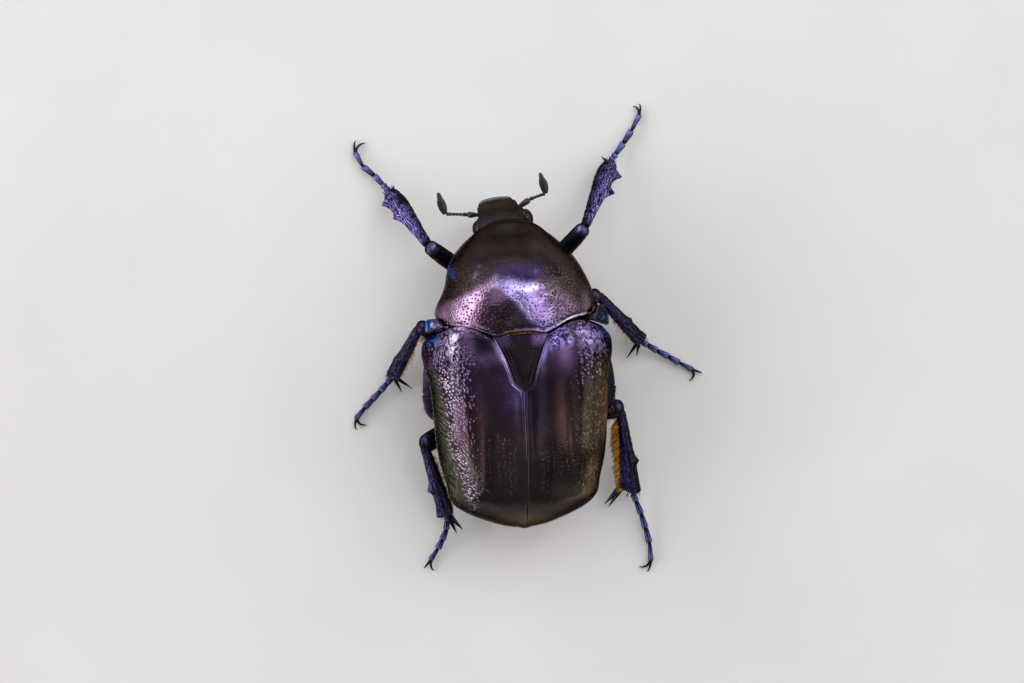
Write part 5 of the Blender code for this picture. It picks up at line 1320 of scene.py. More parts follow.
def tibia(name, leg, pair):
    rng = np.random.default_rng(300 + sum(map(ord, name)))
    knee, heel = np.array(leg["knee"], float), np.array(leg["heel"], float)
    along = heel - knee
    length = np.linalg.norm(along)
    along = along / length
    out = unit(np.cross(along, (0, 0, 1)))
    start = knee + along * 0.10 + np.array((0, 0, 0.04))
    tip = heel + along * 0.05
    a, b = SHIN[pair]
    n, m = (230, 112) if pair == "front" else (200, 84)
    u = np.linspace(0, 1, n)
    path = spline([start, (start + tip) / 2 + np.array((0, 0, 0.10)), tip], 400)
    u0 = np.linspace(0, 1, 400)
    centre = np.stack([np.interp(u, u0, path[:, i]) for i in range(3)], axis=1)
    t = unit(np.gradient(centre, axis=0))
    s = unit(out - t * (t @ out)[:, None])
    up = np.cross(s, t)
    up *= np.sign(up[:, 2:3].mean())
    w = profile(u, (0, 0.36), (0.12, 0.40), (0.5, a * 0.86), (0.78, a), (0.90, a * 0.86), (1, a * 0.52)) if pair == "front" else \
        profile(u, (0, 0.36), (0.12, 0.40), (0.5, a * 0.86), (0.80, a), (0.93, a * 0.97), (1, a * 0.80))
    th = profile(u, (0, 0.33), (0.15, 0.34), (0.5, b * 0.95), (0.85, b), (1, b * 0.86))
    close = np.sqrt(np.clip(1 - np.clip(1 - u / 0.05, 0, 1) ** 2, 0.02, 1)) * np.sqrt(np.clip(1 - np.clip(1 - (1 - u) / 0.035, 0, 1) ** 2, 0.05, 1))
    # teeth grow out of the blade's edges: a concave flank on both sides of each tip
    reach = [w.copy(), w.copy()]
    if name == "hind_right":
        reach[0] = reach[0] + profile(u, (0, 0.0), (0.2, 0.04), (0.5, 0.17), (0.85, 0.48), (1, 0.52))
    full = np.linalg.norm(tip - start)
    for x, y, z, _ in leg["teeth"]:
        p = np.array((x, y, z)) - start
        ut = float(np.clip((p @ along) / full, 0.05, 0.985))
        hgt = float(p @ out)
        i = 0 if hgt > 0 else 1
        near, far = 1.25 / full, 0.62 / full
        d = (u - ut)
        k = np.where(d < 0, np.clip(1 + d / near, 0, 1), np.clip(1 - d / far, 0, 1)) ** 2.3
        extra = max(0.0, abs(hgt) - float(np.interp(ut, u, w)) + 0.04)
        reach[i] = reach[i] + extra * k
    f = 2 * math.pi * np.arange(m) / m
    cf, sf = np.cos(f), np.sin(f)
    c2 = np.sign(cf) * np.abs(cf) ** (2 / 2.5)
    s2 = np.sign(sf) * np.abs(sf) ** (2 / 2.1)
    side_w = np.where(cf[None] > 0, reach[0][:, None], reach[1][:, None]) * close[:, None]
    P = centre[:, None] + s[:, None] * (side_w * c2[None])[..., None] + up[:, None] * ((th * close)[:, None] * s2[None])[..., None]
    if name == "hind_right":
        P = P - along * (0.62 * np.clip(c2[None], 0, 1) * sm(0.80, 1.0, u)[:, None])[..., None]
    N = normals(P, wrap=True)
    N *= np.sign(((P - P.mean(1, keepdims=True)) * N).sum(2).mean())
    U, F = np.broadcast_to(u[:, None], (n, m)), np.broadcast_to(f[None], (n, m))
    lat = (side_w * c2[None])
    # rugose surface: broken lengthwise wrinkles with rows of coarse punctures
    q = lat / (0.215 if pair == 'front' else 0.25) + 1.0 * noise(P, 0.50 if pair == 'front' else 1.1, 301) + 0.60 * noise(P, 0.20, 302)
    body = sm(0.02, 0.10, U) * (1 - sm(0.96, 1.0, U))
    ridge = (np.abs(np.sin(q * math.pi)) - 0.5) * (0.046 if pair == 'front' else 0.036)
    lines = (bell(c2[None] + 0 * U, -0.22, 0.11) + bell(c2[None] + 0 * U, 0.30, 0.10)) * sm(0.0, 0.2, sf)[None] * (pair == 'hind')
    h = ridge * body * (0.6 + 0.7 * np.clip(noise(P, 0.4, 303) + 0.5, 0, 1)) + 0.012 * noise(P, 0.8, 304) + 0.045 * lines * body
    pit, dark = np.zeros_like(h), np.zeros_like(h)
    picks = scatter(P, 15 * body, 0.16, rng, wrap=True)
    r = rng.uniform(0.065, 0.095, len(picks))
    stamp(pit, P, picks, r, 0.050, rng, "shoe", wrap=True, dark=dark, turn=0.7)
    # painted light on the shins: the top lighter on one side as painted highlight, the underside darker as painted
    # shade, wrinkle crests lighter as painted highlights and the marks darker as painted shade
    topside = sm(-0.1, 0.25, (N * np.array((0, 0, 1.0))).sum(2))
    lead = -1.0 if (out[1] > 0) else 1.0                                        # the side that faces the head
    tone = {'front': 1.75, 'middle': 1.1, 'hind': 1.0}[pair]
    bright = topside * sm(-0.7, 0.5, -lead * lat / a + 0.35 * noise(P, 0.6, 305)) * sm(0.02, 0.12, U)
    col = mixed((NIGHT * 0.8 if pair == 'front' else np.array((0.025, 0.024, 0.031)),), (IRIS * tone, np.clip(bright * (0.85 if pair == "front" else 0.6), 0, 1)), (AZURE * tone, 0.35 * sm(0.0, 1.0, noise(P, 0.7, 306))), (INK, 0.5 * (1 - topside)))
    crest = np.abs(np.sin(q * math.pi))
    low_tone, gain = (0.07, 1.75) if pair == 'front' else (0.40, 1.1)
    col = col * (1 - 0.65 * dark[..., None]) * (low_tone + gain * crest**3 * body * sm(-0.8, -0.1, noise(P, 0.3, 309)) + 0.4 * (1 - body))[..., None]
    if pair == 'front':
        col = col * (1 - 0.25 * sm(0.55, 0.80, U))[..., None]
    # hind shins: inner half darker as painted shade, ridge lines lighter as painted highlights
    if pair == 'hind':
        col = col * (1 - 0.45 * sm(0.35, 0.75, c2 if name == "hind_right" else -c2)[None] * (1 - lines))[..., None]
        col = mixed((col,), (IRIS * 1.5, np.clip(0.42 * lines * body * sm(-0.5, 0.3, noise(P, 0.35, 310)), 0, 1)))
    glo = 0.30 + 0.05 * noise(P, 0.3, 307) + 0.08 * dark
    S = P + N * ((h + pit) * np.minimum(1, close[:, None] * 1.2))[..., None]
    V, groups = tube_part(S, (0.01, 0.01, 0.99, 0.78))
    parts = [(V, groups, np.r_[col.reshape(-1, 3), col[[0, -1]].mean(1)], np.r_[glo.ravel(), 0.4, 0.4])]
    small = cells(len(leg["spurs"]) + 14, (0.01, 0.80, 0.99, 0.99))
    for i, p in enumerate(leg["spurs"]):
        p = np.array(p, float)
        root = heel - along * 0.22 + (p - heel) * 0.08 + (out * 0.34 - along * 0.95 if name == "hind_right" else 0)
        parts.append(thorn(root, root + (p - root) * 0.97, (0.28 if name == "hind_right" else 0.24) if pair == 'hind' else 0.16, bend=np.array((0, 0, 0.05)), tip_r=0.02, n=26, m=14, rect=small[i], tint=(0.028, 0.024, 0.030)))
    # a comb of stout bristles round the heel
    for k in range(14):
        g = 2 * math.pi * (k + 0.5) / 14
        at = tip - along * 0.05 + s[-8] * w[-8] * 0.90 * math.cos(g) + up[-8] * th[-8] * 0.88 * math.sin(g)
        ln = rng.uniform(0.16, 0.30)
        d = unit(along + 0.35 * (s[-8] * math.cos(g) + up[-8] * math.sin(g)))
        e = at + d * ln
        if e[2] < 0.05:
            continue
        parts.append(thorn(at - d * 0.05, e, 0.035, tip_r=0.008, n=7, m=6, rect=small[len(leg["spurs"]) + k], tint=(0.035, 0.022, 0.014)))
    V, g, c, gl = join(parts)
    put(build("shin_" + name, V, g, LEG_MAT, c, gl), "tibia_" + name)
    return centre, s, up, (reach[0] if name == "hind_right" else w), th, along, out


def tarsus(name, leg, pair):
    rng = np.random.default_rng(400 + sum(map(ord, name)))
    heel = np.array(leg["heel"], float)
    foot = [np.array(p, float) for p in leg["foot"]]
    step = unit(foot[0] - heel)
    path = spline([heel - step * 0.02, heel + step * 0.42] + foot, 200)
    run = np.r_[0, np.cumsum(np.linalg.norm(np.diff(path, axis=0), axis=1))]
    cut = np.array((0.0, 0.075, 0.18, 0.42, 0.68, 1.0) if pair == 'front' else (0.0, 0.12, 0.32, 0.53, 0.73, 1.0)) * run[-1]
    knots = np.stack([np.interp(cut, run, path[:, k]) for k in range(3)], axis=1)
    parts = []
    rects = cells(5, (0.01, 0.01, 0.99, 0.70)) + cells(44, (0.01, 0.72, 0.99, 0.99))
    r_i = 5
    for i in range(5):
        p, q = knots[i], knots[i + 1]
        d = unit(q - p)
        ln = np.linalg.norm(q - p)
        side = unit(np.cross(d, (0, 0, 1)))
        k = 1.0 if i < 4 else 0.92
        base, flare = (0.175, 0.255) if i < 4 else (0.135, 0.225)
        wide = [(0, base * k), (0.2, base * 1.12), (0.55, (base + flare) / 2 * 1.04 * k), (0.84, flare * k), (1, flare * 0.80 * k)]
        thick = [(0, base * 0.9), (0.15, base * 0.95), (0.55, (base + flare) / 2 * 0.86), (0.84, flare * 0.84), (1, flare * 0.70)]

        def relief(P, u, f, i=i):
            carina = 0.016 * np.cos(7 * f + 0.5) * sm(0.08, 0.3, u) * (1 - sm(0.86, 0.97, u))
            h = carina + 0.008 * noise(P, 0.18, 401 + i)
            # painted highlights: blue streaks along the top and violet on the top of each segment's far half; the sides
            # stay dark
            topside = sm(0.03, 0.13, P[..., 2] - P[..., 2].mean(1, keepdims=True))
            t = mixed((NIGHT * 0.55,), (AZURE * 3.2, np.clip(topside * sm(-0.2, 0.8, np.cos(7 * f + 0.5)) * sm(0.1, 0.4, u), 0, 1)),
                      (IRIS * 1.5, 0.75 * topside * sm(0.50, 0.75, u) * (1 - sm(0.86, 0.95, u))))
            return h, t * (1 + 0.2 * noise(P, 0.3, 411))[..., None], 0.30 + 0.04 * noise(P, 0.2, 412)

        arch = np.array((0, 0, 0.025))
        end = q + d * (0.03 if i < 4 else 0.0)
        parts.append(solid([p - d * 0.03, (p + end) / 2 + arch, end], wide, thick, side, 58, 42, ends=(0.08, 0.10), rect=rects[i], relief=relief,
                           tint=NIGHT, satin=0.33))
        for j in range(4 if i < 4 else 2):                                       # short spines under each joint
            g = (-0.9, -0.35, 0.35, 0.9)[j] if i < 4 else (-0.6, 0.6)[j]
            at = q - d * 0.07 + side * flare * 0.80 * math.sin(g * 1.5) - np.cross(side, d) * flare * 0.55 * math.cos(g)
            e = at + unit(d + 0.45 * side * math.sin(g * 1.5) - 0.35 * np.cross(side, d)) * rng.uniform(0.16, 0.26)
            if e[2] > 0.03:
                parts.append(thorn(at, e, 0.030, tip_r=0.008, n=6, m=6, rect=rects[r_i], tint=(0.05, 0.028, 0.014)))
            r_i += 1
    for tipp in leg["claws"]:
        tipp = np.array(tipp, float)
        root = foot[3] + (foot[2] - foot[3]) * 0.10 + np.array((0, 0, 0.05))
        way = foot[3] - foot[2]
        m1 = root + (tipp - root) * 0.40 + unit(way) * 0.24 + np.array((0, 0, 0.10))
        m2 = root + (tipp - root) * 0.78 + unit(way) * 0.16 + np.array((0, 0, 0.05))
        end = root + (tipp - root) * 0.985
        w = [(0, 0.125), (0.35, 0.10), (0.75, 0.06), (1, 0.022)]
        side = np.cross(unit(tipp - root), (0.1, 0.2, 1.0))
        parts.append(solid([root, m1, m2, end], w, w, side, 30, 14, ends=(0.05, 0.03), rect=rects[r_i], tint=(0.020, 0.018, 0.022), satin=0.22))
        r_i += 1
    V, g, c, gl = join(parts)
    V[:, 2] = np.maximum(V[:, 2], 0.0)
    put(build("foot_" + name, V, g, LEG_MAT, c, gl), "tarsus_" + name)


LEG_MAT = cuticle("leg_cuticle", metallic=0.95, coat=0.05, coat_rough=0.15, mottle=0.18, mottle_scale=2200, pore=0.4,
                  pore_scale=7000, grain=0.4, grain_scale=18000, bump_mm=0.009)
SHINS = {}
for leg_name, leg_data in LEGS.items():
    leg_pair = leg_name.split("_")[0]
    femur(leg_name, leg_data, leg_pair)
    SHINS[leg_name] = tibia(leg_name, leg_data, leg_pair)
    tarsus(leg_name, leg_data, leg_pair)


# ------------------------------------------------------------ breast and belly
def flank(s):
    return profile(s, (0.0, 6.3), (1.2, 6.95), (2.6, 7.32), (4.2, 7.52), (5.6, 7.55), (6.2, 7.42), (6.6, 7.16), (6.85, 6.88), (7.0, 6.60))


def under(s):
    return profile(s, (-0.2, 2.7), (1.5, 1.9), (3.5, BELLY_Z), (6.0, BELLY_Z), (9.0, 1.75), (12.0, 2.25), (14.0, 3.1), (15.3, 4.0))


def trunk_rings(rows, low_cols, shelf, top_cols, breast):
    P, Q = [], []
    for s, shrink in rows:
        w, top, edge = float(elytra_half(s)), float(elytra_top(s)), float(elytra_edge(s))
        t = min(SHELL, 0.42 * w, 0.42 * (top - edge)) + CUT + 0.03
        w_in, top_in = w - t, top - t - (0.2 if s < 0.4 else 0.0)
        w_low = float(flank(s)) if breast else w - 0.24
        e_low = edge - (0.17 if breast else CUT)
        low = float(under(s)) + 0.01
        if shrink < 1:
            mid = (top_in + low) / 2
            w_in, w_low = w_in * shrink, w_low * shrink
            top_in, low, e_low = mid + (top_in - mid) * shrink, mid + (low - mid) * shrink, mid + (e_low - mid) * shrink
            edge = min(edge, top_in - 0.02)
            edge = mid + (edge - mid) * shrink
        lx, lz = arc(w_low, -low, -e_low, 0.0, 400, 2.1)
        a = even(np.stack([np.r_[-lx[::-1], lx[1:]], -np.r_[lz[::-1], lz[1:]]], axis=1), low_cols)
        k = np.linspace(0, 1, shelf + 2)[1:-1]
        rise = 0.14 * np.sin(k * math.pi) if breast else 0.03 * np.sin(k * math.pi)
        b = np.stack([w_low + (w_in - w_low) * k, e_low + (edge - e_low) * k + rise * shrink], axis=1)
        ux, uz = arc(w_in, top_in, edge, 0.0, 200, 2.5)
        c = even(np.stack([np.r_[ux[::-1], -ux[1:]], np.r_[uz[::-1], uz[1:]]], axis=1), top_cols)
        d = b[::-1] * np.array((-1, 1))
        line = np.concatenate([a, b, c, d])
        P.append(np.stack([line[:, 0], wing_y(line[:, 0], s), line[:, 1]], axis=1))
        Q.append(np.full(len(line), s))
    return np.array(P), np.array(Q)


def trunk(name, node, rows, cols, breast):
    rng = np.random.default_rng(500 + breast)
    P, s = trunk_rings(rows, *cols, breast)
    n, m = s.shape
    N = normals(P, wrap=True)
    c = P.mean(1, keepdims=True)
    N *= np.sign(((P - c) * N).sum(2).mean())
    x, z = P[..., 0], P[..., 2]
    ax = np.abs(x)
    col_at = np.broadcast_to(np.arange(m)[None], (n, m))
    low, shelf, top = cols
    below = (col_at < low) * 1.0
    ledge = ((col_at >= low) & (col_at < low + shelf) | (col_at >= low + shelf + top)) * 1.0
    h = 0.012 * noise(P, 0.9, 501) + 0.006 * noise(P, 0.3, 502)
    if breast:
        h = h - below * 0.07 * bell(x, 0, 0.06) * sm(1.8, 2.6, s) + below * 0.30 * bell(x, 0, 0.55) * bell(s, 0.9, 0.75)
        h = h - below * 0.08 * bell(ax, 2.6 + 0.62 * (s - 1.2), 0.07) * sm(1.2, 1.8, s) * (1 - sm(5.0, 5.3, s))
        h = h - below * 0.09 * bell(s, 5.25 - 0.10 * (ax - 3), 0.07) * sm(0.5, 1.0, ax) + below * 0.05 * bell(s, 5.45 - 0.10 * (ax - 3), 0.12) * sm(0.5, 1.0, ax)
        h = h + below * 0.16 * bell(ax, 2.1, 0.9) * bell(s, 1.7, 0.6) - below * 0.07 * bell(s, 2.55, 0.08) * (1 - sm(3.0, 3.6, ax))
        h = h - ledge * 0.030 * bell(s, 5.1, 0.06) - ledge * 0.08 * bell(s, 2.2, 0.10)
        h = h - below * 0.03 * np.abs(np.sin(s / 0.16 * math.pi + 1.5 * noise(P, 0.6, 505))) * sm(5.3, 5.6, s) * sm(1.5, 3, ax)
    else:
        for k, cut in enumerate((8.3, 9.8, 11.3, 12.8, 14.0)):
            at = s - cut - 0.06 * np.cos(x * 0.35)
            h = h - 0.075 * bell(at, 0, 0.055) - below * 0.035 * sm(-0.02, 0.25, at) * (1 - sm(0.25, 0.8, at)) + 0.03 * bell(at, -0.16, 0.10)
        h = h - below * 0.05 * bell(x, 0, 0.5) * (1 - sm(12, 13, s))
        h = h + ledge * 0.03 * bell(s % 1.5, 0.75, 0.3)
    pit, dark = np.zeros_like(h), np.zeros_like(h)
    rate = (below * (3 + 9 * sm(2.0, 4.5, ax)) + ledge * 18) * sm(0.0, 1.0, 1.0 + 0 * s)
    gap = np.where(ledge > 0, 0.14, 0.20)
    picks = scatter(P, rate, gap, rng, wrap=True)
    r = np.where(ledge[picks[:, 0], picks[:, 1]] > 0, rng.uniform(0.050, 0.075, len(picks)), rng.uniform(0.075, 0.11, len(picks)))
    stamp(pit, P, picks, r, r * 0.40, rng, "shoe", wrap=True, dark=dark)
    S = P + N * (h + pit)[..., None]
    S[..., 2] = np.maximum(S[..., 2], 0.9)
    # the ledge on the left side lighter as painted sheen, the right side darker; the marks darker on the ledge as
    # painted shade and lighter below as painted glints
    col = mixed(((0.020, 0.017, 0.026),), ((0.032, 0.027, 0.046), 0.5 + 0.5 * noise(P, 1.1, 503)), ((0.030, 0.023, 0.050), ledge * (x > 0) * 0.9),
                ((0.012, 0.012, 0.020), ledge * (x < 0) * 0.9))
    col = col * (1 + 0.5 * ledge * np.clip(noise(P, 0.35, 506), -0.6, 1))[..., None] * (1 - 0.55 * ledge * dark)[..., None] * (1 + 0.7 * (1 - ledge) * dark)[..., None]
    V, groups = tube_part(S)
    k = n * m
    ob = build(name, V, groups, BELLY_MAT, np.r_[col.reshape(-1, 3), np.full((2, 3), 0.03)], np.r_[(0.33 + 0.04 * noise(P, 0.4, 507)).ravel(), 0.4, 0.4])
    put(ob, node)
    return S, N


BELLY_MAT = cuticle("belly_cuticle", rim=(0.13, 0.11, 0.13), metallic=0.90, coat=0.04, coat_rough=0.3, mottle=0.18, mottle_scale=1500, pore=0.4,
                    pore_scale=6500, grain=0.4, grain_scale=16000, bump_mm=0.009)
breast_rows = [(s, 1.0) for s in np.linspace(0.12, THORAX_END - 0.01, 150)]
BREAST, BREAST_N = trunk("breast_plates", "thorax", breast_rows, (168, 14, 24), True)
end_rows = [(15.1 + 0.30 * math.sin(a), max(math.cos(a), 0.06)) for a in np.linspace(0.08, math.pi / 2 - 0.03, 16)]
BELLY, BELLY_N = trunk("belly_plates", "abdomen", [(s, 1.0) for s in np.linspace(THORAX_END + CUT, 15.1, 140)] + end_rows, (150, 8, 20), False)


def neck():
    """The dark inner ring that joins prothorax and thorax behind the hind margin."""
    rows, m = np.linspace(-2.7, 0.75, 46), 132
    P = []
    for y in rows:
        w = float(profile(y, (-2.7, 5.35), (-1.2, 5.72), (-0.2, 5.80), (0.75, 5.75)))
        low = float(profile(y, (-2.7, 3.25), (-0.8, 3.05), (0.75, 2.95)))
        ux, uz = arc(w, 9.55, 5.6, 0.0, 300, 2.3)
        lx, lz = arc(w, -low, -5.6, 0.0, 300, 2.1)
        line = np.concatenate([np.stack([np.r_[-lx[::-1], lx[1:]], -np.r_[lz[::-1], lz[1:]]], axis=1),
                               np.stack([np.r_[ux[::-1], -ux[1:]], np.r_[uz[::-1], uz[1:]]], axis=1)[1:-1]])
        line = even(line, m)
        P.append(np.stack([line[:, 0], np.full(m, y), line[:, 1]], axis=1))
    P = np.array(P)
    N = normals(P, wrap=True)
    N *= np.sign(((P - P.mean(1, keepdims=True)) * N).sum(2).mean())
    y = P[..., 1]
    h = 0.02 * noise(P, 0.5, 521) - 0.035 * np.abs(np.sin(y / 0.34 * math.pi + 1.2 * noise(P, 0.9, 522)))
    V, groups = tube_part(P + N * h[..., None])
    col = mixed(((0.016, 0.013, 0.018),), ((0.030, 0.024, 0.040), 0.5 + 0.5 * noise(P, 0.7, 523)))
    k = y.size
    put(build("neck_ring", V, groups, BELLY_MAT, np.r_[col.reshape(-1, 3), np.full((2, 3), 0.02)], np.r_[(0.40 + 0.05 * noise(P, 0.4, 524)).ravel(), 0.4, 0.4]))


neck()


def coxae():
    parts = []
    rects = cells(8)
    k = 0
    for name in ("front_left", "front_right", "middle_left", "middle_right"):
        hip = np.array(LEGS[name]["hip"], float)
        inner_end = hip * np.array((0.28, 1.0, 1.0)) + np.array((0, 0.15, 0.25))
        if name.startswith("front"):
            inner_end += np.array((0, 0.25, 0.75))

        def ribs(P, u, f):
            return 0.02 * noise(P, 0.3, 510) - 0.012 * np.abs(np.sin(u * 22 + noise(P, 0.5, 511))), mixed(((0.022, 0.019, 0.028),), ((0.05, 0.04, 0.09), 0.5 + 0.5 * noise(P, 0.6, 512)))

        parts.append(solid([inner_end, (inner_end + hip) / 2 + np.array((0, 0.03, -0.10)), hip + (hip - inner_end) * 0.18],
                           [(0, 0.42), (0.5, 0.60), (1, 0.46)], [(0, 0.42), (0.5, 0.52), (1, 0.42)], (0, 1, 0), 52, 44, ends=(0.12, 0.14), rect=rects[k], relief=ribs))
        k += 1
    V, g, c, gl = join(parts)
    put(build("coxae", V, g, LEG_MAT, c, gl))


coxae()


# ------------------------------------------------------------ mouthparts
def mouth():
    parts = []
    rects = cells(16)
    k = 0
    for sg in (1, -1):
        line = [head_at(2.75, sg * 0.62, -0.78), head_at(3.30, sg * 0.98, -0.98), head_at(3.78, sg * 0.98, -0.92), head_at(4.10, sg * 0.72, -0.72)]
        for i in range(3):
            p, q = line[i], line[i + 1]
            r = (0.12, 0.125, 0.13)[i]
            parts.append(solid([p, (p + q) / 2, q], [(0, r * 0.6), (0.6, r), (1, r * 0.7)], [(0, r * 0.6), (0.6, r), (1, r * 0.7)], HN, 24, 18,
                               ends=(0.12, 0.14), rect=rects[k], tint=(0.035, 0.022, 0.016), satin=0.36))
            k += 1
        p, q = head_at(3.1, sg * 0.28, -0.74), head_at(3.75, sg * 0.42, -0.70)
        parts.append(solid([p, (p + q) / 2 - HN * 0.06, q], [(0, 0.07), (0.6, 0.10), (1, 0.06)], [(0, 0.07), (0.6, 0.09), (1, 0.06)], HN, 20, 14,
                           ends=(0.12, 0.14), rect=rects[k], tint=(0.04, 0.024, 0.016), satin=0.36))
        k += 1
        # the jaws' brushes beside the lip
        p, q = head_at(3.3, sg * 0.62, -0.52), head_at(4.05, sg * 0.48, -0.30)
        parts.append(solid([p, (p + q) / 2 - HN * 0.05, q], [(0, 0.20), (0.6, 0.22), (1, 0.10)], [(0, 0.12), (0.6, 0.14), (1, 0.06)], HL, 26, 20,
                           ends=(0.10, 0.12), rect=rects[k], tint=(0.03, 0.022, 0.018), satin=0.4))
        k += 1
    p, q = head_at(2.2, 0, -1.02), head_at(3.65, 0, -0.58)

    def bumps(P, u, f):
        return 0.02 * noise(P, 0.25, 520) - 0.04 * bell(u, 0.55, 0.05), mixed(((0.026, 0.021, 0.022),), ((0.05, 0.038, 0.03), 0.5 + 0.5 * noise(P, 0.4, 521)))

    parts.append(solid([p, (p + q) / 2 - HN * 0.08, q], [(0, 0.55), (0.5, 0.52), (1, 0.34)], [(0, 0.22), (0.5, 0.22), (1, 0.12)], HL, 44, 40, square=2.6,
                       ends=(0.10, 0.14), rect=rects[k], relief=bumps))
    V, g, c, gl = join(parts)
    put(build("mouthparts", V, g, HEAD_MAT, c, gl))


mouth()


# ------------------------------------------------------------ hair
def hair_material():
    m = bpy.data.materials.new("hair_setae")
    m.use_nodes = True
    N, L = links_of(m)
    bs = N["Principled BSDF"]
    bs.inputs["Metallic"].default_value = 0.0
    bs.inputs["Specular IOR Level"].default_value = 0.5
    co = N.new("ShaderNodeTexCoord")
    at = N.new("ShaderNodeAttribute")
    at.attribute_name = "tint"
    no = N.new("ShaderNodeTexNoise")
    no.inputs["Scale"].default_value = 2500
    no.inputs["Detail"].default_value = 3
    L.new(co.outputs["Object"], no.inputs["Vector"])
    mr = N.new("ShaderNodeMapRange")
    mr.inputs["To Min"].default_value = 0.65
    mr.inputs["To Max"].default_value = 1.35
    L.new(no.outputs["Fac"], mr.inputs["Value"])
    sc = N.new("ShaderNodeVectorMath")
    sc.operation = "SCALE"
    L.new(at.outputs["Color"], sc.inputs[0])
    L.new(mr.outputs["Result"], sc.inputs["Scale"])
    L.new(sc.outputs["Vector"], bs.inputs["Base Color"])
    rr = N.new("ShaderNodeMapRange")
    rr.inputs["To Min"].default_value = 0.35
    rr.inputs["To Max"].default_value = 0.55
    L.new(no.outputs["Fac"], rr.inputs["Value"])
    L.new(rr.outputs["Result"], bs.inputs["Roughness"])
    bp = N.new("ShaderNodeBump")
    bp.inputs["Strength"].default_value = 0.5
    bp.inputs["Distance"].default_value = 0.004 * MM
    L.new(no.outputs["Fac"], bp.inputs["Height"])
    L.new(bp.outputs["Normal"], bs.inputs["Normal"])
    return m


HAIR_MAT = hair_material()


def hair_coat(name, roots, dirs, lens, sag, r, uv, root_tint, tip_tint, rng, n=4, tone=None):
    """Solid tapering setae: roots, directions, lengths, bend; one small place on the map for each."""
    roots, dirs = np.asarray(roots, float), unit(dirs)
    k = len(roots)
    lens, r = np.broadcast_to(lens, k)[:, None], np.broadcast_to(r, k)
    sag = np.broadcast_to(sag, (k, 3))
    V = np.zeros((k, 3 * n + 1, 3))
    col = np.zeros((k, 3 * n + 1, 3))
    UV = np.zeros((k, 3 * n + 1, 2))
    base = np.cross(dirs, unit(rng.normal(size=(k, 3))))
    s = unit(base)
    b = np.cross(dirs, s)
    tone = rng.uniform(0.45, 1.45, (k, 1)) if tone is None else tone[:, None]
    for j in range(n):
        t = j / n
        c = roots + dirs * lens * t + sag * lens * t * t
        rad = (r * (1 - t) ** 0.6)[:, None]
        for q in range(3):
            a = 2 * math.pi * q / 3 + 0.25 * j
            V[:, 3 * j + q] = c + (s * math.cos(a) + b * math.sin(a)) * rad
            UV[:, 3 * j + q] = uv + 0.0015 * (1 - 0.8 * t) * np.array((math.cos(2 * math.pi * q / 3), math.sin(2 * math.pi * q / 3)))
            col[:, 3 * j + q] = (np.array(root_tint) * (1 - t) + np.array(tip_tint) * t) * tone
    V[:, -1] = roots + dirs * lens + sag * lens
    UV[:, -1] = uv
    col[:, -1] = np.array(tip_tint) * tone
    m = 3 * n + 1
    off = (np.arange(k) * m)[:, None, None]
    quads = np.array([(3 * j + q, 3 * j + (q + 1) % 3, 3 * j + 3 + (q + 1) % 3, 3 * j + 3 + q) for j in range(n - 1) for q in range(3)])
    tris = np.array([(3 * (n - 1) + q, 3 * (n - 1) + (q + 1) % 3, m - 1) for q in range(3)] + [(2, 1, 0)])
    flatuv = UV.reshape(-1, 2)
    groups = []
    for f in (quads, tris):
        F = (f[None] + off).reshape(-1, f.shape[1])
        groups.append((F, flatuv[F]))
    V = V.reshape(-1, 3)
    V[:, 2] = np.maximum(V[:, 2], 0.01)
    V, groups = outward(V, groups)
    return build(name, V, groups, HAIR_MAT, col.reshape(-1, 3), 0.45)


GOLD, AMBER, RUST = (0.78, 0.40, 0.050), (0.58, 0.20, 0.012), (0.30, 0.085, 0.012)


def shin_fringe(name, side_sign, count, u0, u1, length):
    centre, s, up, w, th, along, out = SHINS[name]
    rng = np.random.default_rng(600 + count)
    u = rng.uniform(u0, u1, count)
    row = rng.uniform(-0.9, 0.9, count)
    i = (u * (len(centre) - 1)).astype(int)
    root = centre[i] + s[i] * (side_sign * w[i] * 0.86 * np.cos(row * 0.8))[:, None] + up[i] * (th[i] * 0.80 * np.sin(row * 0.9))[:, None]
    d = s[i] * side_sign * rng.uniform(0.8, 1.2, count)[:, None] + along * rng.uniform(0.25, 0.85, count)[:, None] + up[i] * rng.uniform(-0.5, 0.25, count)[:, None]
    ln = length * rng.uniform(0.35, 1.15, count) * (0.35 + 0.65 * np.sin(math.pi * np.clip((u - u0) / (u1 - u0) * 0.8 + 0.12, 0, 1)))
    tone = None
    if name == "hind_right":
        many = 118
        g = np.minimum((u * many).astype(int), many - 1) * 2 + (row > 0)
        mean = lambda v: np.stack([np.bincount(g, v[:, k], 2 * many) for k in range(v.shape[1])], axis=1) / np.maximum(np.bincount(g, minlength=2 * many), 1)[:, None]
        ln = 0.84 * profile(u, (0.05, 0.5), (0.2, 1.0), (0.5, 0.92), (0.8, 0.62), (0.93, 0.42)) * rng.uniform(0.75, 1.25, 2 * many)[g] * rng.uniform(0.7, 1.1, count)
        lean = rng.normal(size=(2 * many, 3)) * 0.20
        point = mean(root)[g] + (unit(mean(unit(d))) + lean)[g] * ln[:, None]
        d = d * 0.75 + unit(point - root) * 1.0
        tone = np.where(rng.uniform(size=2 * many) < 0.28, rng.uniform(0.15, 0.45, 2 * many), rng.uniform(0.9, 1.7, 2 * many))[g] * rng.uniform(0.65, 1.35, count)
    uv = np.stack([0.02 + 0.96 * (0.5 + 0.5 * row), 0.02 + 0.96 * u], axis=1)
    thick = rng.uniform(0.018, 0.027, count) if name == "hind_right" else rng.uniform(0.015, 0.021, count)
    ob = hair_coat("hair_shin_" + name, root, d, ln, along * 0.25, thick, uv, AMBER, GOLD, rng, tone=tone)
    put(ob)


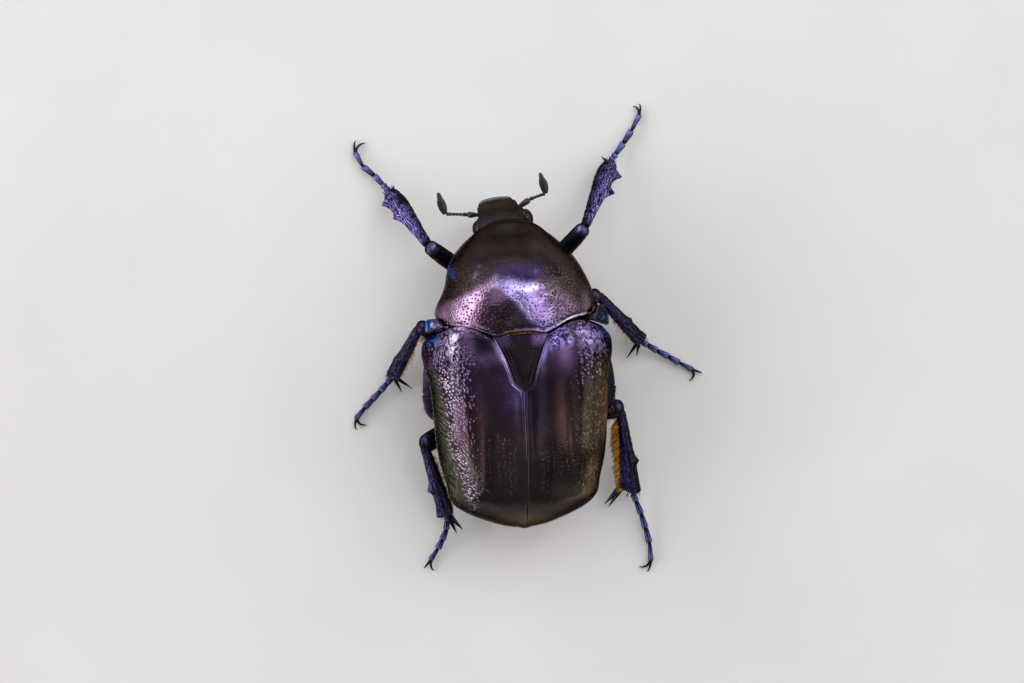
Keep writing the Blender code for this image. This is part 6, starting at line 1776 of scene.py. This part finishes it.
def thigh_fringe(name, pair, count, length, u0=0.15, u1=0.9):
    leg = LEGS[name]
    hip, mid, knee = (np.array(leg[k], float) for k in ("hip", "mid", "knee"))
    path = spline([hip, mid, knee], 200)
    a, b = THIGH[pair]
    rng = np.random.default_rng(700 + sum(map(ord, name)))
    u = rng.uniform(u0, u1, count)
    i = (u * 199).astype(int)
    t = unit(np.gradient(path, axis=0))[i]
    back = unit(np.array((0, 1.0, 0)) - t * t[:, 1:2])
    low = np.cross(t, back)
    low *= -np.sign(low[:, 2:3])
    row = rng.uniform(-0.4, 1.0, count)
    root = path[i] + back * (a * 0.86 * np.cos(row))[:, None] + low * (b * 0.86 * np.sin(row))[:, None]
    d = back * rng.uniform(0.6, 1.1, count)[:, None] + low * rng.uniform(0.1, 0.9, count)[:, None] + t * rng.uniform(0.2, 0.9, count)[:, None]
    ln = length * rng.uniform(0.55, 1.15, count)
    uv = np.stack([0.02 + 0.96 * (row + 0.4) / 1.4, 0.02 + 0.96 * u], axis=1)
    put(hair_coat("hair_thigh_" + name, root, d, ln, t * 0.3, rng.uniform(0.013, 0.019, count), uv, AMBER, GOLD, rng))


for nm, sg, cnt in (("hind_right", 1, 1500), ("hind_left", -1, 260), ("middle_left", -1, 160), ("middle_right", 1, 120)):
    shin_fringe(nm, sg, cnt, 0.12 if nm.startswith("hind") else 0.25, 0.93, 1.12 if nm == "hind_right" else 0.55)
for nm in LEGS:
    pr = nm.split("_")[0]
    thigh_fringe(nm, pr, {"front": 50, "middle": 260, "hind": 200}[pr], {"front": 0.28, "middle": 0.80, "hind": 0.60}[pr])


def bay_fringe():
    S, N, b, x, tt = PRO
    rng = np.random.default_rng(801)
    xs = rng.uniform(-1.85, 1.80, 500)
    row = S[2]
    qx = x[2]
    j = np.array([int(np.argmin(np.abs(qx - v))) for v in xs])
    root = row[j] + np.array((0, 0.0, -0.03))
    d = np.array((0, 1.0, -0.10)) + rng.normal(size=(len(xs), 3)) * np.array((0.35, 0.1, 0.12))
    put(hair_coat("hair_bay", root, d, rng.uniform(0.07, 0.15, len(xs)), np.array((0, 0, -0.25)), 0.014,
                  np.stack([0.02 + 0.96 * (xs + 2.4) / 4.2, np.full(len(xs), 0.03) + rng.uniform(0, 0.02, len(xs))], axis=1), RUST, (0.62, 0.20, 0.03), rng, n=3))


bay_fringe()


def skin_coat(name, S, N, density, gap, length, lie, tint0, tint1, seed, most=900):
    rng = np.random.default_rng(seed)
    picks = scatter(S, density, gap, rng, wrap=True, most=most)
    if not len(picks):
        return
    i, j = picks[:, 0], picks[:, 1]
    nn = N[i, j]
    d = nn * rng.uniform(0.35, 0.7, len(i))[:, None] + lie + rng.normal(size=(len(i), 3)) * 0.15
    ln = length * rng.uniform(0.6, 1.2, len(i))
    uv = np.stack([0.01 + 0.98 * j / S.shape[1], 0.01 + 0.98 * i / S.shape[0]], axis=1)
    put(hair_coat(name, S[i, j] - nn * 0.02, d, ln, np.array((0, 0.25, 0.05)), rng.uniform(0.012, 0.017, len(i)), uv, tint0, tint1, rng))


ax_b = np.abs(BREAST[..., 0])
lowside = (BREAST_N[..., 2] < -0.05) * sm(1.6, 3.2, ax_b)
skin_coat("hair_breast", BREAST, BREAST_N, 9.0 * lowside, 0.22, 0.52, np.array((0, 0.9, -0.1)), AMBER, GOLD, 811, 1500)
ax_c = np.abs(BELLY[..., 0])
lowside = (BELLY_N[..., 2] < 0.1) * sm(3.6, 4.8, ax_c) * (1 - sm(13.5, 14.5, BELLY[..., 1]))
skin_coat("hair_belly", BELLY, BELLY_N, 5.0 * lowside + 3.0 * (BELLY[..., 1] > 14.2), 0.25, 0.42, np.array((0, 0.9, 0.0)), AMBER, GOLD, 812, 700)


def lip_fringe():
    rng = np.random.default_rng(820)
    k = 120
    x = rng.uniform(-1.2, 1.2, k)
    root = head_at(4.02 - 0.10 * np.exp(-(x / 0.75) ** 2), x, -0.05 + rng.uniform(-0.12, 0.06, k))
    d = HA * rng.uniform(0.5, 1.0, k)[:, None] - HN * rng.uniform(0.4, 0.9, k)[:, None] + HL * (0.25 * x)[:, None]
    put(hair_coat("hair_lip", root, d, rng.uniform(0.22, 0.38, k), -HN * 0.2, 0.012, np.stack([0.02 + 0.96 * (x + 1.2) / 2.4, rng.uniform(0.02, 0.06, k)], axis=1), RUST, AMBER, rng, n=3))


lip_fringe()


# ------------------------------------------------------------ camera, floor and light
def camera():
    f = 100 / 36 * 1024
    dist = 0.0782 * f
    tau, phi = math.radians(4.5), math.radians(2.9)
    back = np.array((math.sin(tau), 0, math.cos(tau)))
    e1, r0 = np.array((0, -1.0, 0)), np.array((-math.cos(tau), 0, math.sin(tau)))
    right = math.cos(phi) * r0 - math.sin(phi) * e1
    up = math.sin(phi) * r0 + math.cos(phi) * e1
    at = np.array((0.36, 1.04, 5.5)) + SH + back * dist
    data = bpy.data.cameras.new("photo_camera")
    data.lens, data.sensor_width = 100, 36
    data.clip_start, data.clip_end = 0.001, 20
    ob = bpy.data.objects.new("photo_camera", data)
    m = ob.matrix_world.copy()
    for i in range(3):
        m[i][0], m[i][1], m[i][2], m[i][3] = right[i], up[i], back[i], at[i] * MM
    ob.matrix_world = m
    bpy.context.scene.collection.objects.link(ob)
    bpy.context.scene.camera = ob


def window(name, lean, turn, wide, high, radiance, colour, dist=0.42):
    """A soft panel facing the beetle: lean from straight up and turn about the
    upright, wide and high across, all in degrees; turn 0 is in front of the head."""
    from mathutils import Vector
    a, b = math.radians(lean), math.radians(turn)
    d = Vector((math.sin(a) * math.sin(b), -math.sin(a) * math.cos(b), math.cos(a)))
    size = [2 * dist * math.tan(math.radians(v) / 2) for v in (wide, high)]
    data = bpy.data.lights.new(name, "AREA")
    data.shape = "RECTANGLE"
    data.size, data.size_y = size
    data.energy = radiance * math.pi * size[0] * size[1]
    data.color = colour
    ob = bpy.data.objects.new(name, data)
    ob.rotation_mode = "QUATERNION"
    ob.rotation_quaternion = (-d).to_track_quat("-Z", "Y")
    ob.location = d * dist + Vector((0, 0, 0.005))
    bpy.context.scene.collection.objects.link(ob)
    return ob


camera()

floor_me = bpy.data.meshes.new("floor")
g = np.linspace(0, 2 * math.pi, 97)[:-1]
rings = [0.0005, 0.05, 0.2, 1.0, 3.0]
fv = [(0.0, 0.0, -0.00002)] + [(r * math.cos(a), r * math.sin(a), -0.00002) for r in rings for a in g]
ff = [(0, 1 + i, 1 + (i + 1) % 96) for i in range(96)]
for k in range(len(rings) - 1):
    ff += [(1 + k * 96 + i, 1 + (k + 1) * 96 + i, 1 + (k + 1) * 96 + (i + 1) % 96, 1 + k * 96 + (i + 1) % 96) for i in range(96)]
floor_me.from_pydata(fv, [], ff)
floor = bpy.data.objects.new("floor", floor_me)
bpy.context.scene.collection.objects.link(floor)
fm = bpy.data.materials.new("pale_floor")
fm.use_nodes = True
FN, FL = links_of(fm)
fb = FN["Principled BSDF"]
fb.inputs["Roughness"].default_value = 0.75
fb.inputs["Specular IOR Level"].default_value = 0.15
fco = FN.new("ShaderNodeTexCoord")
fno = FN.new("ShaderNodeTexNoise")
fno.inputs["Scale"].default_value = 60
fno.inputs["Detail"].default_value = 5
FL.new(fco.outputs["Object"], fno.inputs["Vector"])
frp = FN.new("ShaderNodeValToRGB")
frp.color_ramp.elements[0].position, frp.color_ramp.elements[1].position = 0.3, 0.7
frp.color_ramp.elements[0].color = (0.810, 0.785, 0.750, 1)
frp.color_ramp.elements[1].color = (0.850, 0.825, 0.790, 1)
FL.new(fno.outputs["Fac"], frp.inputs["Fac"])
FL.new(frp.outputs["Color"], fb.inputs["Base Color"])
floor_me.materials.append(fm)

world = bpy.data.worlds.new("studio")
bpy.context.scene.world = world
world.use_nodes = True
WN, WL = world.node_tree.nodes, world.node_tree.links
WN["Background"].inputs["Color"].default_value = (0.86, 0.91, 1.0, 1)
WN["Background"].inputs["Strength"].default_value = 0.15

window("front_window", 31, 0, 60, 38, 1.3, (0.87, 0.89, 1.0))
window("front_low", 72, 0, 60, 14, 1.8, (0.97, 0.97, 1.0))
window("front_right", 56, -46, 22, 20, 2.0, (0.97, 0.97, 1.0))
window("upper_right", 26, -86, 60, 34, 0.95, (0.97, 0.97, 1.0))
window("left_window", 67, 83, 106, 34, 2.55, (1.0, 0.98, 0.99))
window("right_window", 68, -85, 60, 28, 1.5, (1.0, 0.96, 0.92))
window("left_glint", 64, 78, 5, 5, 9.0, (1.0, 0.98, 1.0))
window("left_glint_low", 78, 102, 5, 5, 26.0, (1.0, 0.98, 1.0))
window("right_glint", 46, -50, 5, 5, 16.0, (1.0, 0.97, 0.95))
bpy.context.scene.view_settings.view_transform = "Standard"
